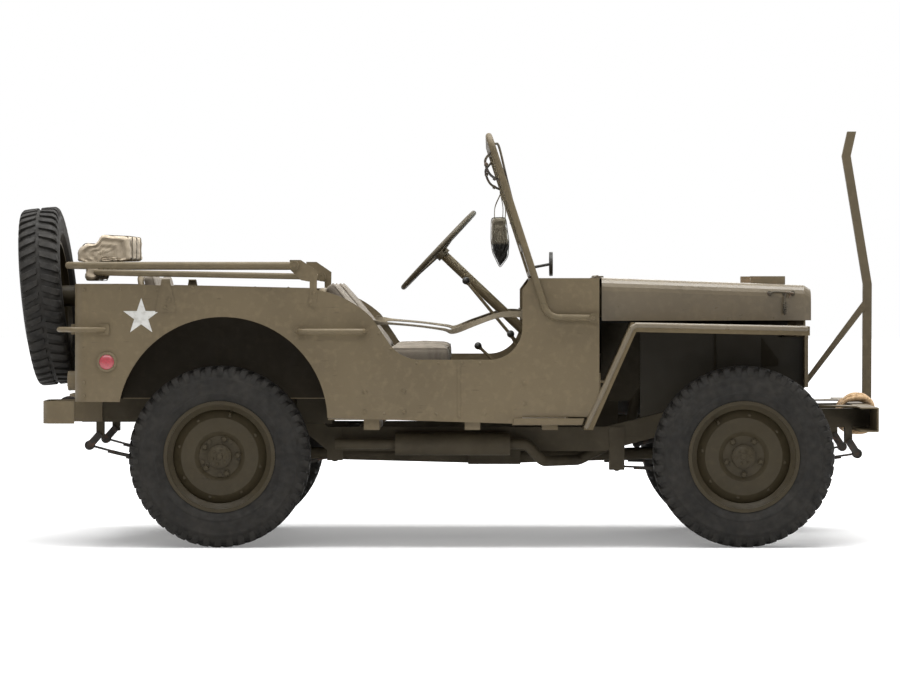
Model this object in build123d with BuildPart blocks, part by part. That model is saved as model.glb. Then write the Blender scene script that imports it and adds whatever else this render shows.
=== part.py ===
from build123d import *
import os
from math import atan2, cos, degrees, hypot, radians, sin

os.makedirs("parts", exist_ok=True)

# Open army 4x4 car. X runs forward, Y to the car's left and Z up.
# While it is built, X is counted from the rear axle. Each piece is moved at the end,
# so that the origin lies on the ground under the middle of the whole car.

# Driving dimensions, in millimetres
wheelbase = 2032
track = 1245
tyre_radius = 352
tyre_width = 160
body_half_width = 730
grip_reach = 787
sheet = 4
seat_gap = 0.5
cut_overrun = 20

front_axle_x = wheelbase
axle_z = tyre_radius
wheel_y = track / 2
inner_half_width = body_half_width - sheet


def block(x_low, x_high, y_low, y_high, z_low, z_high, mode=Mode.ADD):
    """A square block between two opposite corners."""
    middle = ((x_low + x_high) / 2, (y_low + y_high) / 2, (z_low + z_high) / 2)
    with Locations(middle):
        Box(x_high - x_low, y_high - y_low, z_high - z_low, mode=mode)


def side_plate(outline, y_low, y_high, mode=Mode.ADD):
    """A plate cut to an outline of (x, z) points, lying between two values of y."""
    with BuildSketch(Plane.XZ.offset(-y_low)) as face:
        with BuildLine():
            Polyline(*outline, close=True)
        make_face()
    extrude(face.sketch, amount=y_high - y_low, dir=(0, 1, 0), mode=mode)


def flat_plate(outline, z_low, z_high, mode=Mode.ADD):
    """A plate cut to an outline of (x, y) points, lying between two heights."""
    with BuildSketch(Plane.XY.offset(z_low)) as face:
        with BuildLine():
            Polyline(*outline, close=True)
        make_face()
    extrude(face.sketch, amount=z_high - z_low, dir=(0, 0, 1), mode=mode)


def rod(start, end, radius, mode=Mode.ADD):
    """A round bar between two points."""
    run = Vector(*end) - Vector(*start)
    with BuildSketch(Plane(origin=start, z_dir=run)) as section:
        Circle(radius)
    extrude(section.sketch, amount=run.length, mode=mode)


def bent_tube(points, bends, radius):
    """A round tube along straight runs that are joined by bends."""
    with BuildLine() as route:
        FilletPolyline(*points, radius=bends)
    start = Vector(*points[0])
    with BuildSketch(Plane(origin=start, z_dir=Vector(*points[1]) - start)) as section:
        Circle(radius)
    sweep(section.sketch, path=route.wires()[0])


def both_sides():
    """Repeats what the block holds on the car's other side."""
    mirror(about=Plane.XZ)


pieces = []


def keep(name, piece):
    piece.part.label = name
    pieces.append((name, piece.part))


# Chassis frame: two box rails that rise over the axles, with four cross members
rail_outer_y = 375
rail_width = 45
rail_inner_y = rail_outer_y - rail_width
frame_rear_x = -560
bumper_web = 5
bumper_face_x = 2550
frame_front_x = bumper_face_x - bumper_web
rail_rear_bottom_z = 477
rail_rear_top_z = 572
rail_mid_bottom_z = 362
rail_mid_top_z = 457
rail_front_bottom_z = 461
rail_front_top_z = 532
rear_rise_start_x = 270
rear_rise_end_x = 410
front_rise_start_x = 1500
front_rise_end_x = 1750
front_rise_bottom_z = 430
front_rise_top_z = 520
member_width = 55
cross_members = [
    # rear edge, bottom, top
    (frame_rear_x, rail_rear_bottom_z, rail_rear_top_z),
    (470, 385, 450),
    (1180, rail_mid_bottom_z, 405),
    (2205, rail_front_bottom_z, 527),
]
front_member_top_z = cross_members[3][2]
front_member_rear_x = cross_members[3][0]
brace_width = 45
brace_reach_x = 330
hanger_plate = 8
spring_width = 43
spring_y = rail_outer_y - rail_width / 2
front_spring_rear_eye = (1548, 302)
front_spring_front_eye = (2497, 352)
front_shackle_top = (2462, 406)
rear_spring_rear_eye = (-532, 385)
rear_spring_front_eye = (436, 340)
rear_shackle_top = (-490, 432)
eye_radius = 19
hanger_half_length = 30
hanger_below_eye = 14


def front_rail_top(x):
    """Height of a rail's top over its long front run."""
    share = (x - front_rise_end_x) / (frame_front_x - front_rise_end_x)
    return front_rise_top_z + share * (rail_front_top_z - front_rise_top_z)


with BuildPart() as chassis_frame:
    rail_outline = [
        (frame_rear_x, rail_rear_bottom_z),
        (rear_rise_start_x, rail_rear_bottom_z),
        (rear_rise_end_x, rail_mid_bottom_z),
        (front_rise_start_x, rail_mid_bottom_z),
        (front_rise_end_x, front_rise_bottom_z),
        (frame_front_x, rail_front_bottom_z),
        (frame_front_x, rail_front_top_z),
        (front_rise_end_x, front_rise_top_z),
        (front_rise_start_x, rail_mid_top_z),
        (rear_rise_end_x, rail_mid_top_z),
        (rear_rise_start_x, rail_rear_top_z),
        (frame_rear_x, rail_rear_top_z),
    ]
    side_plate(rail_outline, rail_inner_y, rail_outer_y)
    for eye in (front_spring_rear_eye, rear_spring_front_eye):
        for cheek_y in (rail_outer_y, rail_inner_y - hanger_plate):
            block(eye[0] - hanger_half_length, eye[0] + hanger_half_length,
                  cheek_y, cheek_y + hanger_plate,
                  eye[1] - hanger_below_eye, rail_mid_top_z)
    for top in (front_shackle_top, rear_shackle_top):
        block(top[0] - hanger_half_length / 2, top[0] + hanger_half_length / 2,
              rail_inner_y + seat_gap, rail_outer_y - seat_gap,
              top[1] - hanger_below_eye, rail_rear_top_z - rail_width)
    both_sides()
    for rear_x, low_z, high_z in cross_members:
        block(rear_x, rear_x + member_width, -rail_inner_y, rail_inner_y, low_z, high_z)
    for side in (-1, 1):
        flat_plate([
            (frame_rear_x + member_width, side * brace_width / 2),
            (frame_rear_x + brace_reach_x, side * rail_inner_y),
            (frame_rear_x + brace_reach_x - brace_width, side * rail_inner_y),
            (frame_rear_x + member_width, side * brace_width * 2),
        ], rail_rear_bottom_z, rail_rear_bottom_z + brace_width)
keep("chassis_frame", chassis_frame)


# Front bumper: one channel, open to the rear, with a gusset plate at each rail
bumper_half_length = 720
bumper_depth = 70
bumper_low_z = 449
bumper_high_z = 544
bumper_corner = 8
gusset_reach_x = 150
gusset_reach_y = 170
bumper_back_x = bumper_face_x - bumper_depth
tow_hole_radius = 8
tow_hole_y = 260
tow_hole_spacing_z = 50

with BuildPart() as front_bumper:
    with BuildSketch(Plane.XZ.offset(bumper_half_length)) as channel:
        with BuildLine():
            Polyline(
                (bumper_back_x, bumper_low_z),
                (bumper_face_x, bumper_low_z),
                (bumper_face_x, bumper_high_z),
                (bumper_back_x, bumper_high_z),
                (bumper_back_x, bumper_high_z - bumper_web),
                (frame_front_x, bumper_high_z - bumper_web),
                (frame_front_x, bumper_low_z + bumper_web),
                (bumper_back_x, bumper_low_z + bumper_web),
                close=True,
            )
        make_face()
        outer_corners = channel.vertices().sort_by(Axis.X)[-2:]
        fillet(outer_corners, bumper_corner / 2)
    extrude(channel.sketch, amount=2 * bumper_half_length, dir=(0, 1, 0))
    for side in (-1, 1):
        flat_plate([
            (bumper_back_x - gusset_reach_x, side * rail_outer_y),
            (bumper_back_x, side * rail_outer_y),
            (bumper_back_x, side * (rail_outer_y + gusset_reach_y)),
        ], bumper_high_z - bumper_web, bumper_high_z)
    for side in (-1, 1):
        for level in (-1, 1):
            hole_z = (bumper_low_z + bumper_high_z + level * tow_hole_spacing_z) / 2
            rod((frame_front_x - cut_overrun, side * tow_hole_y, hole_z),
                (bumper_face_x + cut_overrun, side * tow_hole_y, hole_z),
                tow_hole_radius, Mode.SUBTRACT)
keep("front_bumper", front_bumper)


# Rear bumperettes: two bands of flat bar bent to a U, bolted outside the rail ends
bumperette_back_x = -690
bumperette_outer_y = 640
bumperette_grip_x = -480
bumperette_low_z = 479
bumperette_high_z = 567
bumperette_bar = 7
bumperette_bend = 45
bumperette_end_x = -566

with BuildPart() as rear_bumperettes:
    with BuildPart(mode=Mode.ADD) as outside:
        block(bumperette_back_x, bumperette_end_x, rail_outer_y, bumperette_outer_y,
              bumperette_low_z, bumperette_high_z)
        fillet(outside.edges().filter_by(Axis.Z).sort_by(Axis.X)[:2], bumperette_bend)
    with BuildPart(mode=Mode.SUBTRACT) as inside:
        block(bumperette_back_x + bumperette_bar, bumperette_end_x + cut_overrun,
              rail_outer_y + bumperette_bar, bumperette_outer_y - bumperette_bar,
              bumperette_low_z - cut_overrun, bumperette_high_z + cut_overrun)
        fillet(inside.edges().filter_by(Axis.Z).sort_by(Axis.X)[:2],
               bumperette_bend - bumperette_bar)
    block(bumperette_end_x, bumperette_grip_x, rail_outer_y, rail_outer_y + bumperette_bar,
          bumperette_low_z, bumperette_high_z)
    both_sides()
keep("rear_bumperettes", rear_bumperettes)


# Pintle hook: a cast hook on the rear cross member, whose throat takes a tow ring
pintle_x = -650
pintle_z = 525
pintle_throat_radius = 22
pintle_outer_radius = 44
pintle_half_width = 20
pintle_plate_half = 50
pintle_plate = 12

with BuildPart() as pintle_hook:
    rod((pintle_x, -pintle_half_width, pintle_z),
        (pintle_x, pintle_half_width, pintle_z), pintle_outer_radius)
    block(pintle_x, frame_rear_x - pintle_plate, -pintle_half_width, pintle_half_width,
          pintle_z - pintle_throat_radius, pintle_z + pintle_throat_radius)
    block(frame_rear_x - pintle_plate, frame_rear_x, -pintle_plate_half, pintle_plate_half,
          pintle_z - pintle_outer_radius, pintle_z + pintle_outer_radius)
    rod((pintle_x, -pintle_half_width - cut_overrun, pintle_z),
        (pintle_x, pintle_half_width + cut_overrun, pintle_z),
        pintle_throat_radius, Mode.SUBTRACT)
keep("pintle_hook", pintle_hook)


# Wire cutter: an angle iron post on the bumper with a notch at its top and one brace
post_width = 35
post_web = 5
post_knee_z = 1021
post_knee_x = 2553
post_notch_x = 2468
post_notch_z = 1537
post_top_x = 2490
post_top_z = 1636
brace_top_z = 944
brace_top_x = 2562
brace_foot_x = 2247
brace_thickness = 22

with BuildPart() as wire_cutter:
    post_rear_edge = [
        (bumper_face_x, bumper_low_z),
        (post_knee_x, post_knee_z),
        (post_notch_x, post_notch_z),
        (post_top_x, post_top_z),
    ]
    post_front_edge = [(x + post_width, z) for x, z in reversed(post_rear_edge)]
    side_plate(post_rear_edge + post_front_edge, -post_web / 2, post_web / 2)
    flange_edge = [(x + post_web, z) for x, z in reversed(post_rear_edge)]
    side_plate(post_rear_edge + flange_edge, -post_web / 2, post_width - post_web / 2)
    side_plate([
        (brace_foot_x - brace_thickness / 2, front_member_top_z),
        (brace_foot_x + brace_thickness / 2, front_member_top_z),
        (brace_top_x, brace_top_z - brace_thickness),
        (brace_top_x, brace_top_z + brace_thickness),
    ], -post_web, post_web)
keep("wire_cutter", wire_cutter)


# Leaf springs: a pack of leaves under each axle end, with its eyes and shackles
leaf_thickness = 6
leaf_shares = [1.0, 0.86, 0.72, 0.58, 0.44, 0.3]
axle_tube_radius = 38
spring_drop = 8
spring_top_z = axle_z - axle_tube_radius - spring_drop
clamp_half_length = 45
clamp_plate = 10
spring_pad = 5


def circle_through(first, second, third):
    """Centre and radius of the circle through three points."""
    (ax, az), (bx, bz), (cx, cz) = first, second, third
    twice_area = 2 * (ax * (bz - cz) + bx * (cz - az) + cx * (az - bz))
    a_square, b_square, c_square = ax**2 + az**2, bx**2 + bz**2, cx**2 + cz**2
    x = (a_square * (bz - cz) + b_square * (cz - az) + c_square * (az - bz)) / twice_area
    z = (a_square * (cx - bx) + b_square * (ax - cx) + c_square * (bx - ax)) / twice_area
    return x, z, hypot(ax - x, az - z)


def leaf_spring(rear_eye, axle_x, front_eye):
    """A pack of curved leaves between two eyes, clamped under the axle."""
    seat = (axle_x, spring_top_z - leaf_thickness / 2)
    x, z, radius = circle_through(rear_eye, seat, front_eye)
    rear_angle = degrees(atan2(rear_eye[1] - z, rear_eye[0] - x)) % 360
    seat_angle = degrees(atan2(seat[1] - z, seat[0] - x)) % 360
    front_angle = degrees(atan2(front_eye[1] - z, front_eye[0] - x)) % 360
    for count, share in enumerate(leaf_shares):
        low = seat_angle + (rear_angle - seat_angle) * share
        high = seat_angle + (front_angle - seat_angle) * share
        inner = radius + (count - 0.5) * leaf_thickness
        with BuildSketch(Plane.XZ.offset(spring_width / 2 - spring_y)) as leaf:
            with BuildLine():
                upper = CenterArc((x, z), inner, low, high - low)
                lower = CenterArc((x, z), inner + leaf_thickness, low, high - low)
                Line(upper @ 0, lower @ 0)
                Line(upper @ 1, lower @ 1)
            make_face()
        extrude(leaf.sketch, amount=spring_width, dir=(0, 1, 0))
    for eye in (rear_eye, front_eye):
        rod((eye[0], spring_y - spring_width / 2, eye[1]),
            (eye[0], spring_y + spring_width / 2, eye[1]), eye_radius)
    block(axle_x - clamp_half_length, axle_x + clamp_half_length,
          spring_y - rail_width / 2, spring_y + rail_width / 2,
          seat[1] - len(leaf_shares) * leaf_thickness - clamp_plate,
          seat[1] - (len(leaf_shares) - 1) * leaf_thickness)
    block(axle_x - clamp_half_length, axle_x + clamp_half_length,
          spring_y - spring_width / 2, spring_y + spring_width / 2,
          seat[1], spring_top_z + spring_pad)


shackle_waist = 0.7


def shackle(eye, top):
    """A pair of links from a spring's eye up to the frame's hanger."""
    run = Vector(top[0] - eye[0], 0, top[1] - eye[1])
    across = run.normalized().cross(Vector(0, 1, 0)) * eye_radius * shackle_waist
    outline = [
        (eye[0] + across.X, eye[1] + across.Z),
        (eye[0] - across.X, eye[1] - across.Z),
        (top[0] - across.X, top[1] - across.Z),
        (top[0] + across.X, top[1] + across.Z),
    ]
    for link_y in (spring_y - rail_width / 2 - hanger_plate, spring_y + rail_width / 2):
        side_plate(outline, link_y, link_y + hanger_plate)
    rod((eye[0], spring_y - rail_width / 2 - hanger_plate, eye[1]),
        (eye[0], spring_y + rail_width / 2 + hanger_plate, eye[1]), eye_radius / 2)


with BuildPart() as leaf_springs:
    leaf_spring(front_spring_rear_eye, front_axle_x, front_spring_front_eye)
    shackle(front_spring_front_eye, front_shackle_top)
    leaf_spring(rear_spring_rear_eye, 0, rear_spring_front_eye)
    shackle(rear_spring_rear_eye, rear_shackle_top)
    both_sides()
keep("leaf_springs", leaf_springs)


# Axles: a tube with its differential on the right, carried on the springs
differential_y = -150
differential_radius = 122
differential_half_depth = 80
differential_round = 50
pinion_radius = 52
pinion_reach = 135
pin_y = 500
ball_radius = 55
ball_flat = 10
drum_plate_radius = 130
drum_plate = 6
drum_plate_inset = 75
spindle_radius = 20
spindle_reach = 10
pad_top_z = spring_top_z + spring_pad + seat_gap
crank_pin_y = 90
crank_pin_radius = 12
crank_low_z = 436
crank_high_z = 448
crank_boss_radius = 20


def axle_housing(axle_x, nose):
    """The tube, the differential and its pinion nose, and the two spring pads."""
    rod((axle_x, -pin_y, axle_z), (axle_x, pin_y, axle_z), axle_tube_radius)
    with BuildSketch(Plane(origin=(axle_x - differential_half_depth, differential_y, axle_z),
                           x_dir=(0, 1, 0), z_dir=(1, 0, 0))) as cover:
        Circle(differential_radius)
    extrude(cover.sketch, amount=2 * differential_half_depth)
    rod((axle_x, differential_y, axle_z),
        (axle_x + nose * pinion_reach, differential_y, axle_z), pinion_radius)
    for side in (-1, 1):
        block(axle_x - clamp_half_length, axle_x + clamp_half_length,
              side * spring_y - rail_width / 2, side * spring_y + rail_width / 2,
              pad_top_z, axle_z)


with BuildPart() as front_axle:
    axle_housing(front_axle_x, -1)
    for side in (-1, 1):
        with Locations((front_axle_x, side * pin_y, axle_z)):
            Sphere(ball_radius)
        block(front_axle_x - ball_radius, front_axle_x + ball_radius,
              side * (pin_y + ball_radius / 2 + ball_flat / 2) - (ball_radius - ball_flat) / 2,
              side * (pin_y + ball_radius / 2 + ball_flat / 2) + (ball_radius - ball_flat) / 2,
              axle_z - ball_radius, axle_z + ball_radius, Mode.SUBTRACT)
    rod((front_axle_x, crank_pin_y, axle_z),
        (front_axle_x, crank_pin_y, crank_low_z - seat_gap), crank_boss_radius)
    rod((front_axle_x, crank_pin_y, axle_z),
        (front_axle_x, crank_pin_y, crank_high_z + seat_gap), crank_pin_radius)
keep("front_axle", front_axle)

with BuildPart() as rear_axle:
    axle_housing(0, 1)
    plate_y = wheel_y - drum_plate_inset
    for side in (-1, 1):
        rod((0, 0, axle_z), (0, side * (plate_y + drum_plate), axle_z), axle_tube_radius)
        rod((0, side * plate_y, axle_z), (0, side * (plate_y + drum_plate), axle_z),
            drum_plate_radius)
        rod((0, side * plate_y, axle_z), (0, side * (wheel_y + spindle_reach), axle_z),
            spindle_radius)
keep("rear_axle", rear_axle)


# Wheels: a tyre on a steel rim, whose disc carries the hub and the brake drum
bead_radius = 206
bead_half_width = 56
bead_top_radius = 217
bulge_radius = 262
shoulder_radius = 328
shoulder_half_width = 73
crown_half_width = 60
rim_fit = 0.3
rim_wall = 4
rim_lip_radius = 216
rim_well_radius = 186
rim_seat_half_width = 42
rim_well_half_width = 26
rim_seat_inner = 40
rim_well_inner = 22
disc_wall = 5
disc_rim_out = 8
disc_dish_radius = 150
disc_dish_out = 30
disc_crown_radius = 98
disc_crown_out = 34
disc_flat_radius = 80
disc_flat_out = 20
disc_slant = 3
hub_radius = 45
hub_reach = 42
hub_cap_radius = 30
drum_radius = 135
drum_inner_gap = 11
drum_depth = 52
drum_wall = 5
lug_circle_radius = 69.85
lug_count = 5
stud_radius = 8
stud_reach = 12
stud_sides = 6


def plane_through_axis(centre, facing):
    """The plane that holds a wheel's axis: local x is the radius, local y runs along it."""
    along = Vector(*facing)
    across = along.cross(Vector(0, 0, 1))
    return Plane(origin=centre, x_dir=across, z_dir=across.cross(along))


def tyre(centre, facing):
    """A tyre about an axis that points along facing."""
    half_width = tyre_width / 2
    with BuildSketch(plane_through_axis(centre, facing)) as section:
        with BuildLine():
            Line((bead_radius, -bead_half_width), (bead_radius, bead_half_width))
            for side in (-1, 1):
                Line((bead_radius, side * bead_half_width),
                     (bead_top_radius, side * bead_half_width))
                ThreePointArc((bead_top_radius, side * bead_half_width),
                              (bulge_radius, side * half_width),
                              (shoulder_radius, side * shoulder_half_width))
                Line((shoulder_radius, side * shoulder_half_width),
                     (tyre_radius, side * crown_half_width))
            Line((tyre_radius, -crown_half_width), (tyre_radius, crown_half_width))
        make_face()
    revolve(section.sketch, axis=Axis(centre, facing))


# The rim's section, as (radius, distance outward), tyre side first
rim_lip_half_width = bead_half_width + 2
rim_outline = [
    (rim_lip_radius, rim_lip_half_width),
    (bead_radius - rim_fit, rim_lip_half_width),
    (bead_radius - rim_fit, rim_seat_half_width),
    (rim_well_radius, rim_well_half_width),
    (rim_well_radius, -rim_well_half_width),
    (bead_radius - rim_fit, -rim_seat_half_width),
    (bead_radius - rim_fit, -rim_lip_half_width),
    (rim_lip_radius, -rim_lip_half_width),
    (rim_lip_radius, -rim_lip_half_width - rim_wall),
    (bead_radius - rim_wall, -rim_lip_half_width - rim_wall),
    (bead_radius - rim_wall, -rim_seat_inner - rim_wall),
    (rim_well_radius - rim_wall, -rim_well_inner - rim_wall),
    (rim_well_radius - rim_wall, rim_well_inner + rim_wall),
    (bead_radius - rim_wall, rim_seat_inner + rim_wall),
    (bead_radius - rim_wall, rim_lip_half_width + rim_wall),
    (rim_lip_radius, rim_lip_half_width + rim_wall),
]
# The dished disc inside the rim, from the well in to the hub
disc_outline = [
    (rim_well_radius - rim_wall, disc_rim_out),
    (disc_dish_radius, disc_dish_out),
    (disc_crown_radius, disc_crown_out),
    (disc_flat_radius, disc_flat_out),
    (hub_radius - disc_wall, disc_flat_out),
    (hub_radius - disc_wall, disc_flat_out - disc_wall),
    (disc_flat_radius + disc_slant, disc_flat_out - disc_wall),
    (disc_crown_radius + disc_slant, disc_crown_out - disc_wall),
    (disc_dish_radius - disc_slant, disc_dish_out - disc_wall),
    (rim_well_radius - rim_wall, disc_rim_out - disc_wall - disc_slant),
]


def turned_about(outline, centre, facing, mode=Mode.ADD):
    """A ring from points of (radius, distance outward) about an axis along facing."""
    with BuildSketch(plane_through_axis(centre, facing)) as section:
        with BuildLine():
            Polyline(*outline, close=True)
        make_face()
    revolve(section.sketch, axis=Axis(centre, facing), mode=mode)


def rim(centre, facing):
    """The rim, its disc, and five studs on the disc."""
    turned_about(rim_outline, centre, facing)
    turned_about(disc_outline, centre, facing)
    along = Vector(*facing)
    plane = Plane(origin=Vector(*centre) + along * (disc_flat_out - disc_wall), z_dir=along)
    with BuildSketch(plane) as studs:
        with PolarLocations(lug_circle_radius, lug_count):
            RegularPolygon(stud_radius, stud_sides)
    extrude(studs.sketch, amount=disc_wall + stud_reach)


hub_outline = [
    (spindle_radius + seat_gap, -drum_inner_gap - drum_depth),
    (hub_radius, -drum_inner_gap - drum_depth),
    (hub_radius, -drum_inner_gap - drum_wall),
    (drum_radius - drum_wall, -drum_inner_gap - drum_wall),
    (drum_radius - drum_wall, -drum_inner_gap - drum_depth),
    (drum_radius, -drum_inner_gap - drum_depth),
    (drum_radius, -drum_inner_gap),
    (hub_radius, -drum_inner_gap),
    (hub_radius, hub_reach - disc_wall),
    (hub_cap_radius, hub_reach),
    (0, hub_reach),
    (0, spindle_reach + seat_gap),
    (spindle_radius + seat_gap, spindle_reach + seat_gap),
]

wheels = [
    # name, axle place, side (right is -1)
    ("front_right", front_axle_x, -1),
    ("front_left", front_axle_x, 1),
    ("rear_right", 0, -1),
    ("rear_left", 0, 1),
]
for place, wheel_x, side in wheels:
    centre = (wheel_x, side * wheel_y, axle_z)
    facing = (0, side, 0)
    with BuildPart() as road_tyre:
        tyre(centre, facing)
    keep("tyre_" + place, road_tyre)
    with BuildPart() as road_wheel:
        rim(centre, facing)
        turned_about(hub_outline, centre, facing)
    keep("wheel_" + place, road_wheel)


# Steering knuckles: each turns about an upright pin in the axle's ball
knuckle_radius = 70
socket_radius = 56
knuckle_wrap = 12
knuckle_flat = 47
socket_floor = 42
arm_length = 165
arm_low_z = 392
arm_high_z = 408
arm_half_width = 16
arm_root_x = 60
pivot_gap = 0.3
rod_eye_half = 13
tie_rod_radius = 11


def across_at(radius, along):
    """Half width of a ball of a given radius, so far along from its middle."""
    return (radius**2 - along**2) ** 0.5


for place, side in (("right", -1), ("left", 1)):
    pin = (front_axle_x, side * pin_y, axle_z)
    facing = (0, side, 0)
    plate_out = wheel_y - drum_plate_inset + drum_plate - pin_y
    with BuildPart() as knuckle:
        with BuildSketch(plane_through_axis(pin, facing)) as section:
            with BuildLine():
                ThreePointArc((across_at(knuckle_radius, knuckle_wrap), -knuckle_wrap),
                              (knuckle_radius, 0),
                              (across_at(knuckle_radius, knuckle_flat), knuckle_flat))
                Polyline((across_at(knuckle_radius, knuckle_flat), knuckle_flat),
                         (drum_plate_radius, knuckle_flat),
                         (drum_plate_radius, plate_out),
                         (spindle_radius, plate_out),
                         (spindle_radius, wheel_y + spindle_reach - pin_y),
                         (0, wheel_y + spindle_reach - pin_y),
                         (0, socket_floor),
                         (across_at(socket_radius, socket_floor), socket_floor))
                ThreePointArc((across_at(socket_radius, socket_floor), socket_floor),
                              (socket_radius, 0),
                              (across_at(socket_radius, knuckle_wrap), -knuckle_wrap))
                Line((across_at(socket_radius, knuckle_wrap), -knuckle_wrap),
                     (across_at(knuckle_radius, knuckle_wrap), -knuckle_wrap))
            make_face()
        revolve(section.sketch, axis=Axis(pin, facing))
        block(front_axle_x + arm_root_x, front_axle_x + arm_length,
              side * pin_y - arm_half_width, side * pin_y + arm_half_width,
              arm_low_z, arm_high_z)
        block(front_axle_x + arm_root_x - arm_half_width, front_axle_x + arm_root_x + arm_half_width,
              side * (pin_y + knuckle_flat / 2) - knuckle_flat / 2 - arm_half_width / 2,
              side * (pin_y + knuckle_flat / 2) + knuckle_flat / 2 + arm_half_width / 2,
              arm_low_z, arm_high_z)
        rod((front_axle_x + arm_length, side * pin_y, arm_low_z),
            (front_axle_x + arm_length, side * pin_y, arm_high_z), arm_half_width)
    keep("knuckle_" + place, knuckle)


# Steering linkage: the tie rod and the bell crank ahead of the axle, the drag link behind
crank_side_arm = 125
crank_arm_half = 14
crank_hub_radius = 22
crank_fit = 0.4
tie_rod_z = arm_high_z + pivot_gap + rod_eye_half
pitman_x = 1655
pitman_pivot_z = 510
pitman_y = 430
pitman_thickness = 12
pitman_half_width = 14
pitman_end_radius = 17
pitman_stud_radius = 8
link_rear_y = 412
link_rear_z = 360
link_radius = 10
link_drop = 4
link_front_z = crank_high_z + link_drop + link_radius
link_end_radius = 14
link_end_half = 10

with BuildPart() as tie_rod:
    rod((front_axle_x + arm_length, -pin_y, tie_rod_z),
        (front_axle_x + arm_length, pin_y, tie_rod_z), tie_rod_radius)
    for side in (-1, 1):
        rod((front_axle_x + arm_length, side * pin_y, tie_rod_z - rod_eye_half),
            (front_axle_x + arm_length, side * pin_y, tie_rod_z + rod_eye_half),
            crank_arm_half)
keep("tie_rod", tie_rod)

with BuildPart() as bell_crank:
    rod((front_axle_x, crank_pin_y, crank_low_z), (front_axle_x, crank_pin_y, crank_high_z),
        crank_hub_radius)
    for end in ((front_axle_x + arm_length, crank_pin_y),
                (front_axle_x, crank_pin_y + crank_side_arm)):
        rod((end[0], end[1], crank_low_z), (end[0], end[1], crank_high_z), crank_arm_half)
    block(front_axle_x, front_axle_x + arm_length,
          crank_pin_y - crank_arm_half, crank_pin_y + crank_arm_half, crank_low_z, crank_high_z)
    block(front_axle_x - crank_arm_half, front_axle_x + crank_arm_half,
          crank_pin_y, crank_pin_y + crank_side_arm, crank_low_z, crank_high_z)
    rod((front_axle_x, crank_pin_y, crank_low_z - cut_overrun),
        (front_axle_x, crank_pin_y, crank_high_z + cut_overrun),
        crank_pin_radius + crank_fit, Mode.SUBTRACT)
keep("bell_crank", bell_crank)

with BuildPart() as drag_link:
    front_end = (front_axle_x, crank_pin_y + crank_side_arm, link_front_z)
    rear_end = (pitman_x, link_rear_y, link_rear_z)
    rod(rear_end, front_end, link_radius)
    rod((front_end[0], front_end[1], crank_high_z + pivot_gap),
        (front_end[0], front_end[1], link_front_z + rod_eye_half), link_end_radius)
    rod((pitman_x, link_rear_y - link_end_half, link_rear_z),
        (pitman_x, link_rear_y + link_end_half, link_rear_z), link_end_radius)
keep("drag_link", drag_link)

with BuildPart() as pitman_arm:
    for centre_z in (link_rear_z, pitman_pivot_z):
        rod((pitman_x, pitman_y, centre_z), (pitman_x, pitman_y + pitman_thickness, centre_z),
            pitman_end_radius)
    block(pitman_x - pitman_half_width, pitman_x + pitman_half_width,
          pitman_y, pitman_y + pitman_thickness, link_rear_z, pitman_pivot_z)
    rod((pitman_x, link_rear_y + link_end_half + pivot_gap, link_rear_z),
        (pitman_x, pitman_y, link_rear_z), pitman_stud_radius)
keep("pitman_arm", pitman_arm)


# Steering column: a tube from the wheel down through the toe board to its gear box
column_y = 400
column_radius = 20
column_top = (861, column_y, 1137)
column_slope_share = (0.727, 0, -0.687)
column_length = 960
box_rear_x = 1520
box_front_x = pitman_x + 25
box_outer_y = 428
box_low_z = rail_mid_top_z + seat_gap
box_high_z = 562

with BuildPart() as steering_column:
    column_end = Vector(*column_top) + Vector(*column_slope_share) * column_length
    rod(column_top, (column_end.X, column_end.Y, column_end.Z), column_radius)
    block(box_rear_x, box_front_x, rail_outer_y, box_outer_y, box_low_z, box_high_z)
keep("steering_column", steering_column)


# Steering wheel: a round rim on three wire spokes
wheel_rim_radius = 210
wheel_rim_bar = 11
wheel_hub_radius = 30
wheel_hub_length = 34
spoke_radius = 6
spoke_count = 3

with BuildPart() as steering_wheel:
    slope = Vector(*column_slope_share).normalized()
    hub_base = Vector(*column_top) - slope * seat_gap
    hub_plane = Plane(origin=hub_base, z_dir=slope * -1, x_dir=(0, 1, 0))
    with BuildSketch(hub_plane) as hub_face:
        Circle(wheel_hub_radius)
    extrude(hub_face.sketch, amount=wheel_hub_length)
    rim_plane = hub_plane.offset(wheel_hub_length)
    for count in range(spoke_count):
        angle = radians(90 + count * 360 / spoke_count)
        start = hub_plane.offset(wheel_hub_length / 2).from_local_coords(Vector(0, 0, 0))
        end = rim_plane.from_local_coords(
            Vector(wheel_rim_radius * cos(angle), wheel_rim_radius * sin(angle), 0))
        rod((start.X, start.Y, start.Z), (end.X, end.Y, end.Z), spoke_radius)
    section_plane = Plane(origin=rim_plane.origin, x_dir=(0, 1, 0), z_dir=rim_plane.y_dir)
    with BuildSketch(section_plane) as bar:
        with Locations((wheel_rim_radius, 0)):
            Circle(wheel_rim_bar)
    revolve(bar.sketch, axis=Axis(rim_plane.origin, rim_plane.z_dir))
keep("steering_wheel", steering_wheel)


# Engine with its gearbox end, as one plain block on two arms from the rails
engine_rear_x = 1560
engine_front_x = 2120
engine_half_width = 170
engine_low_z = 500
engine_high_z = 930
engine_corner = 30
engine_arm_x = 2060
engine_arm_high_z = 515
engine_arm_length = 60

with BuildPart() as engine:
    block(engine_rear_x, engine_front_x, -engine_half_width, engine_half_width,
          engine_low_z, engine_high_z)
    fillet(engine.edges().filter_by(Axis.X), engine_corner)
    block(engine_arm_x, engine_arm_x + engine_arm_length, -rail_inner_y, rail_inner_y,
          engine_low_z, engine_arm_high_z)
keep("engine", engine)


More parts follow.
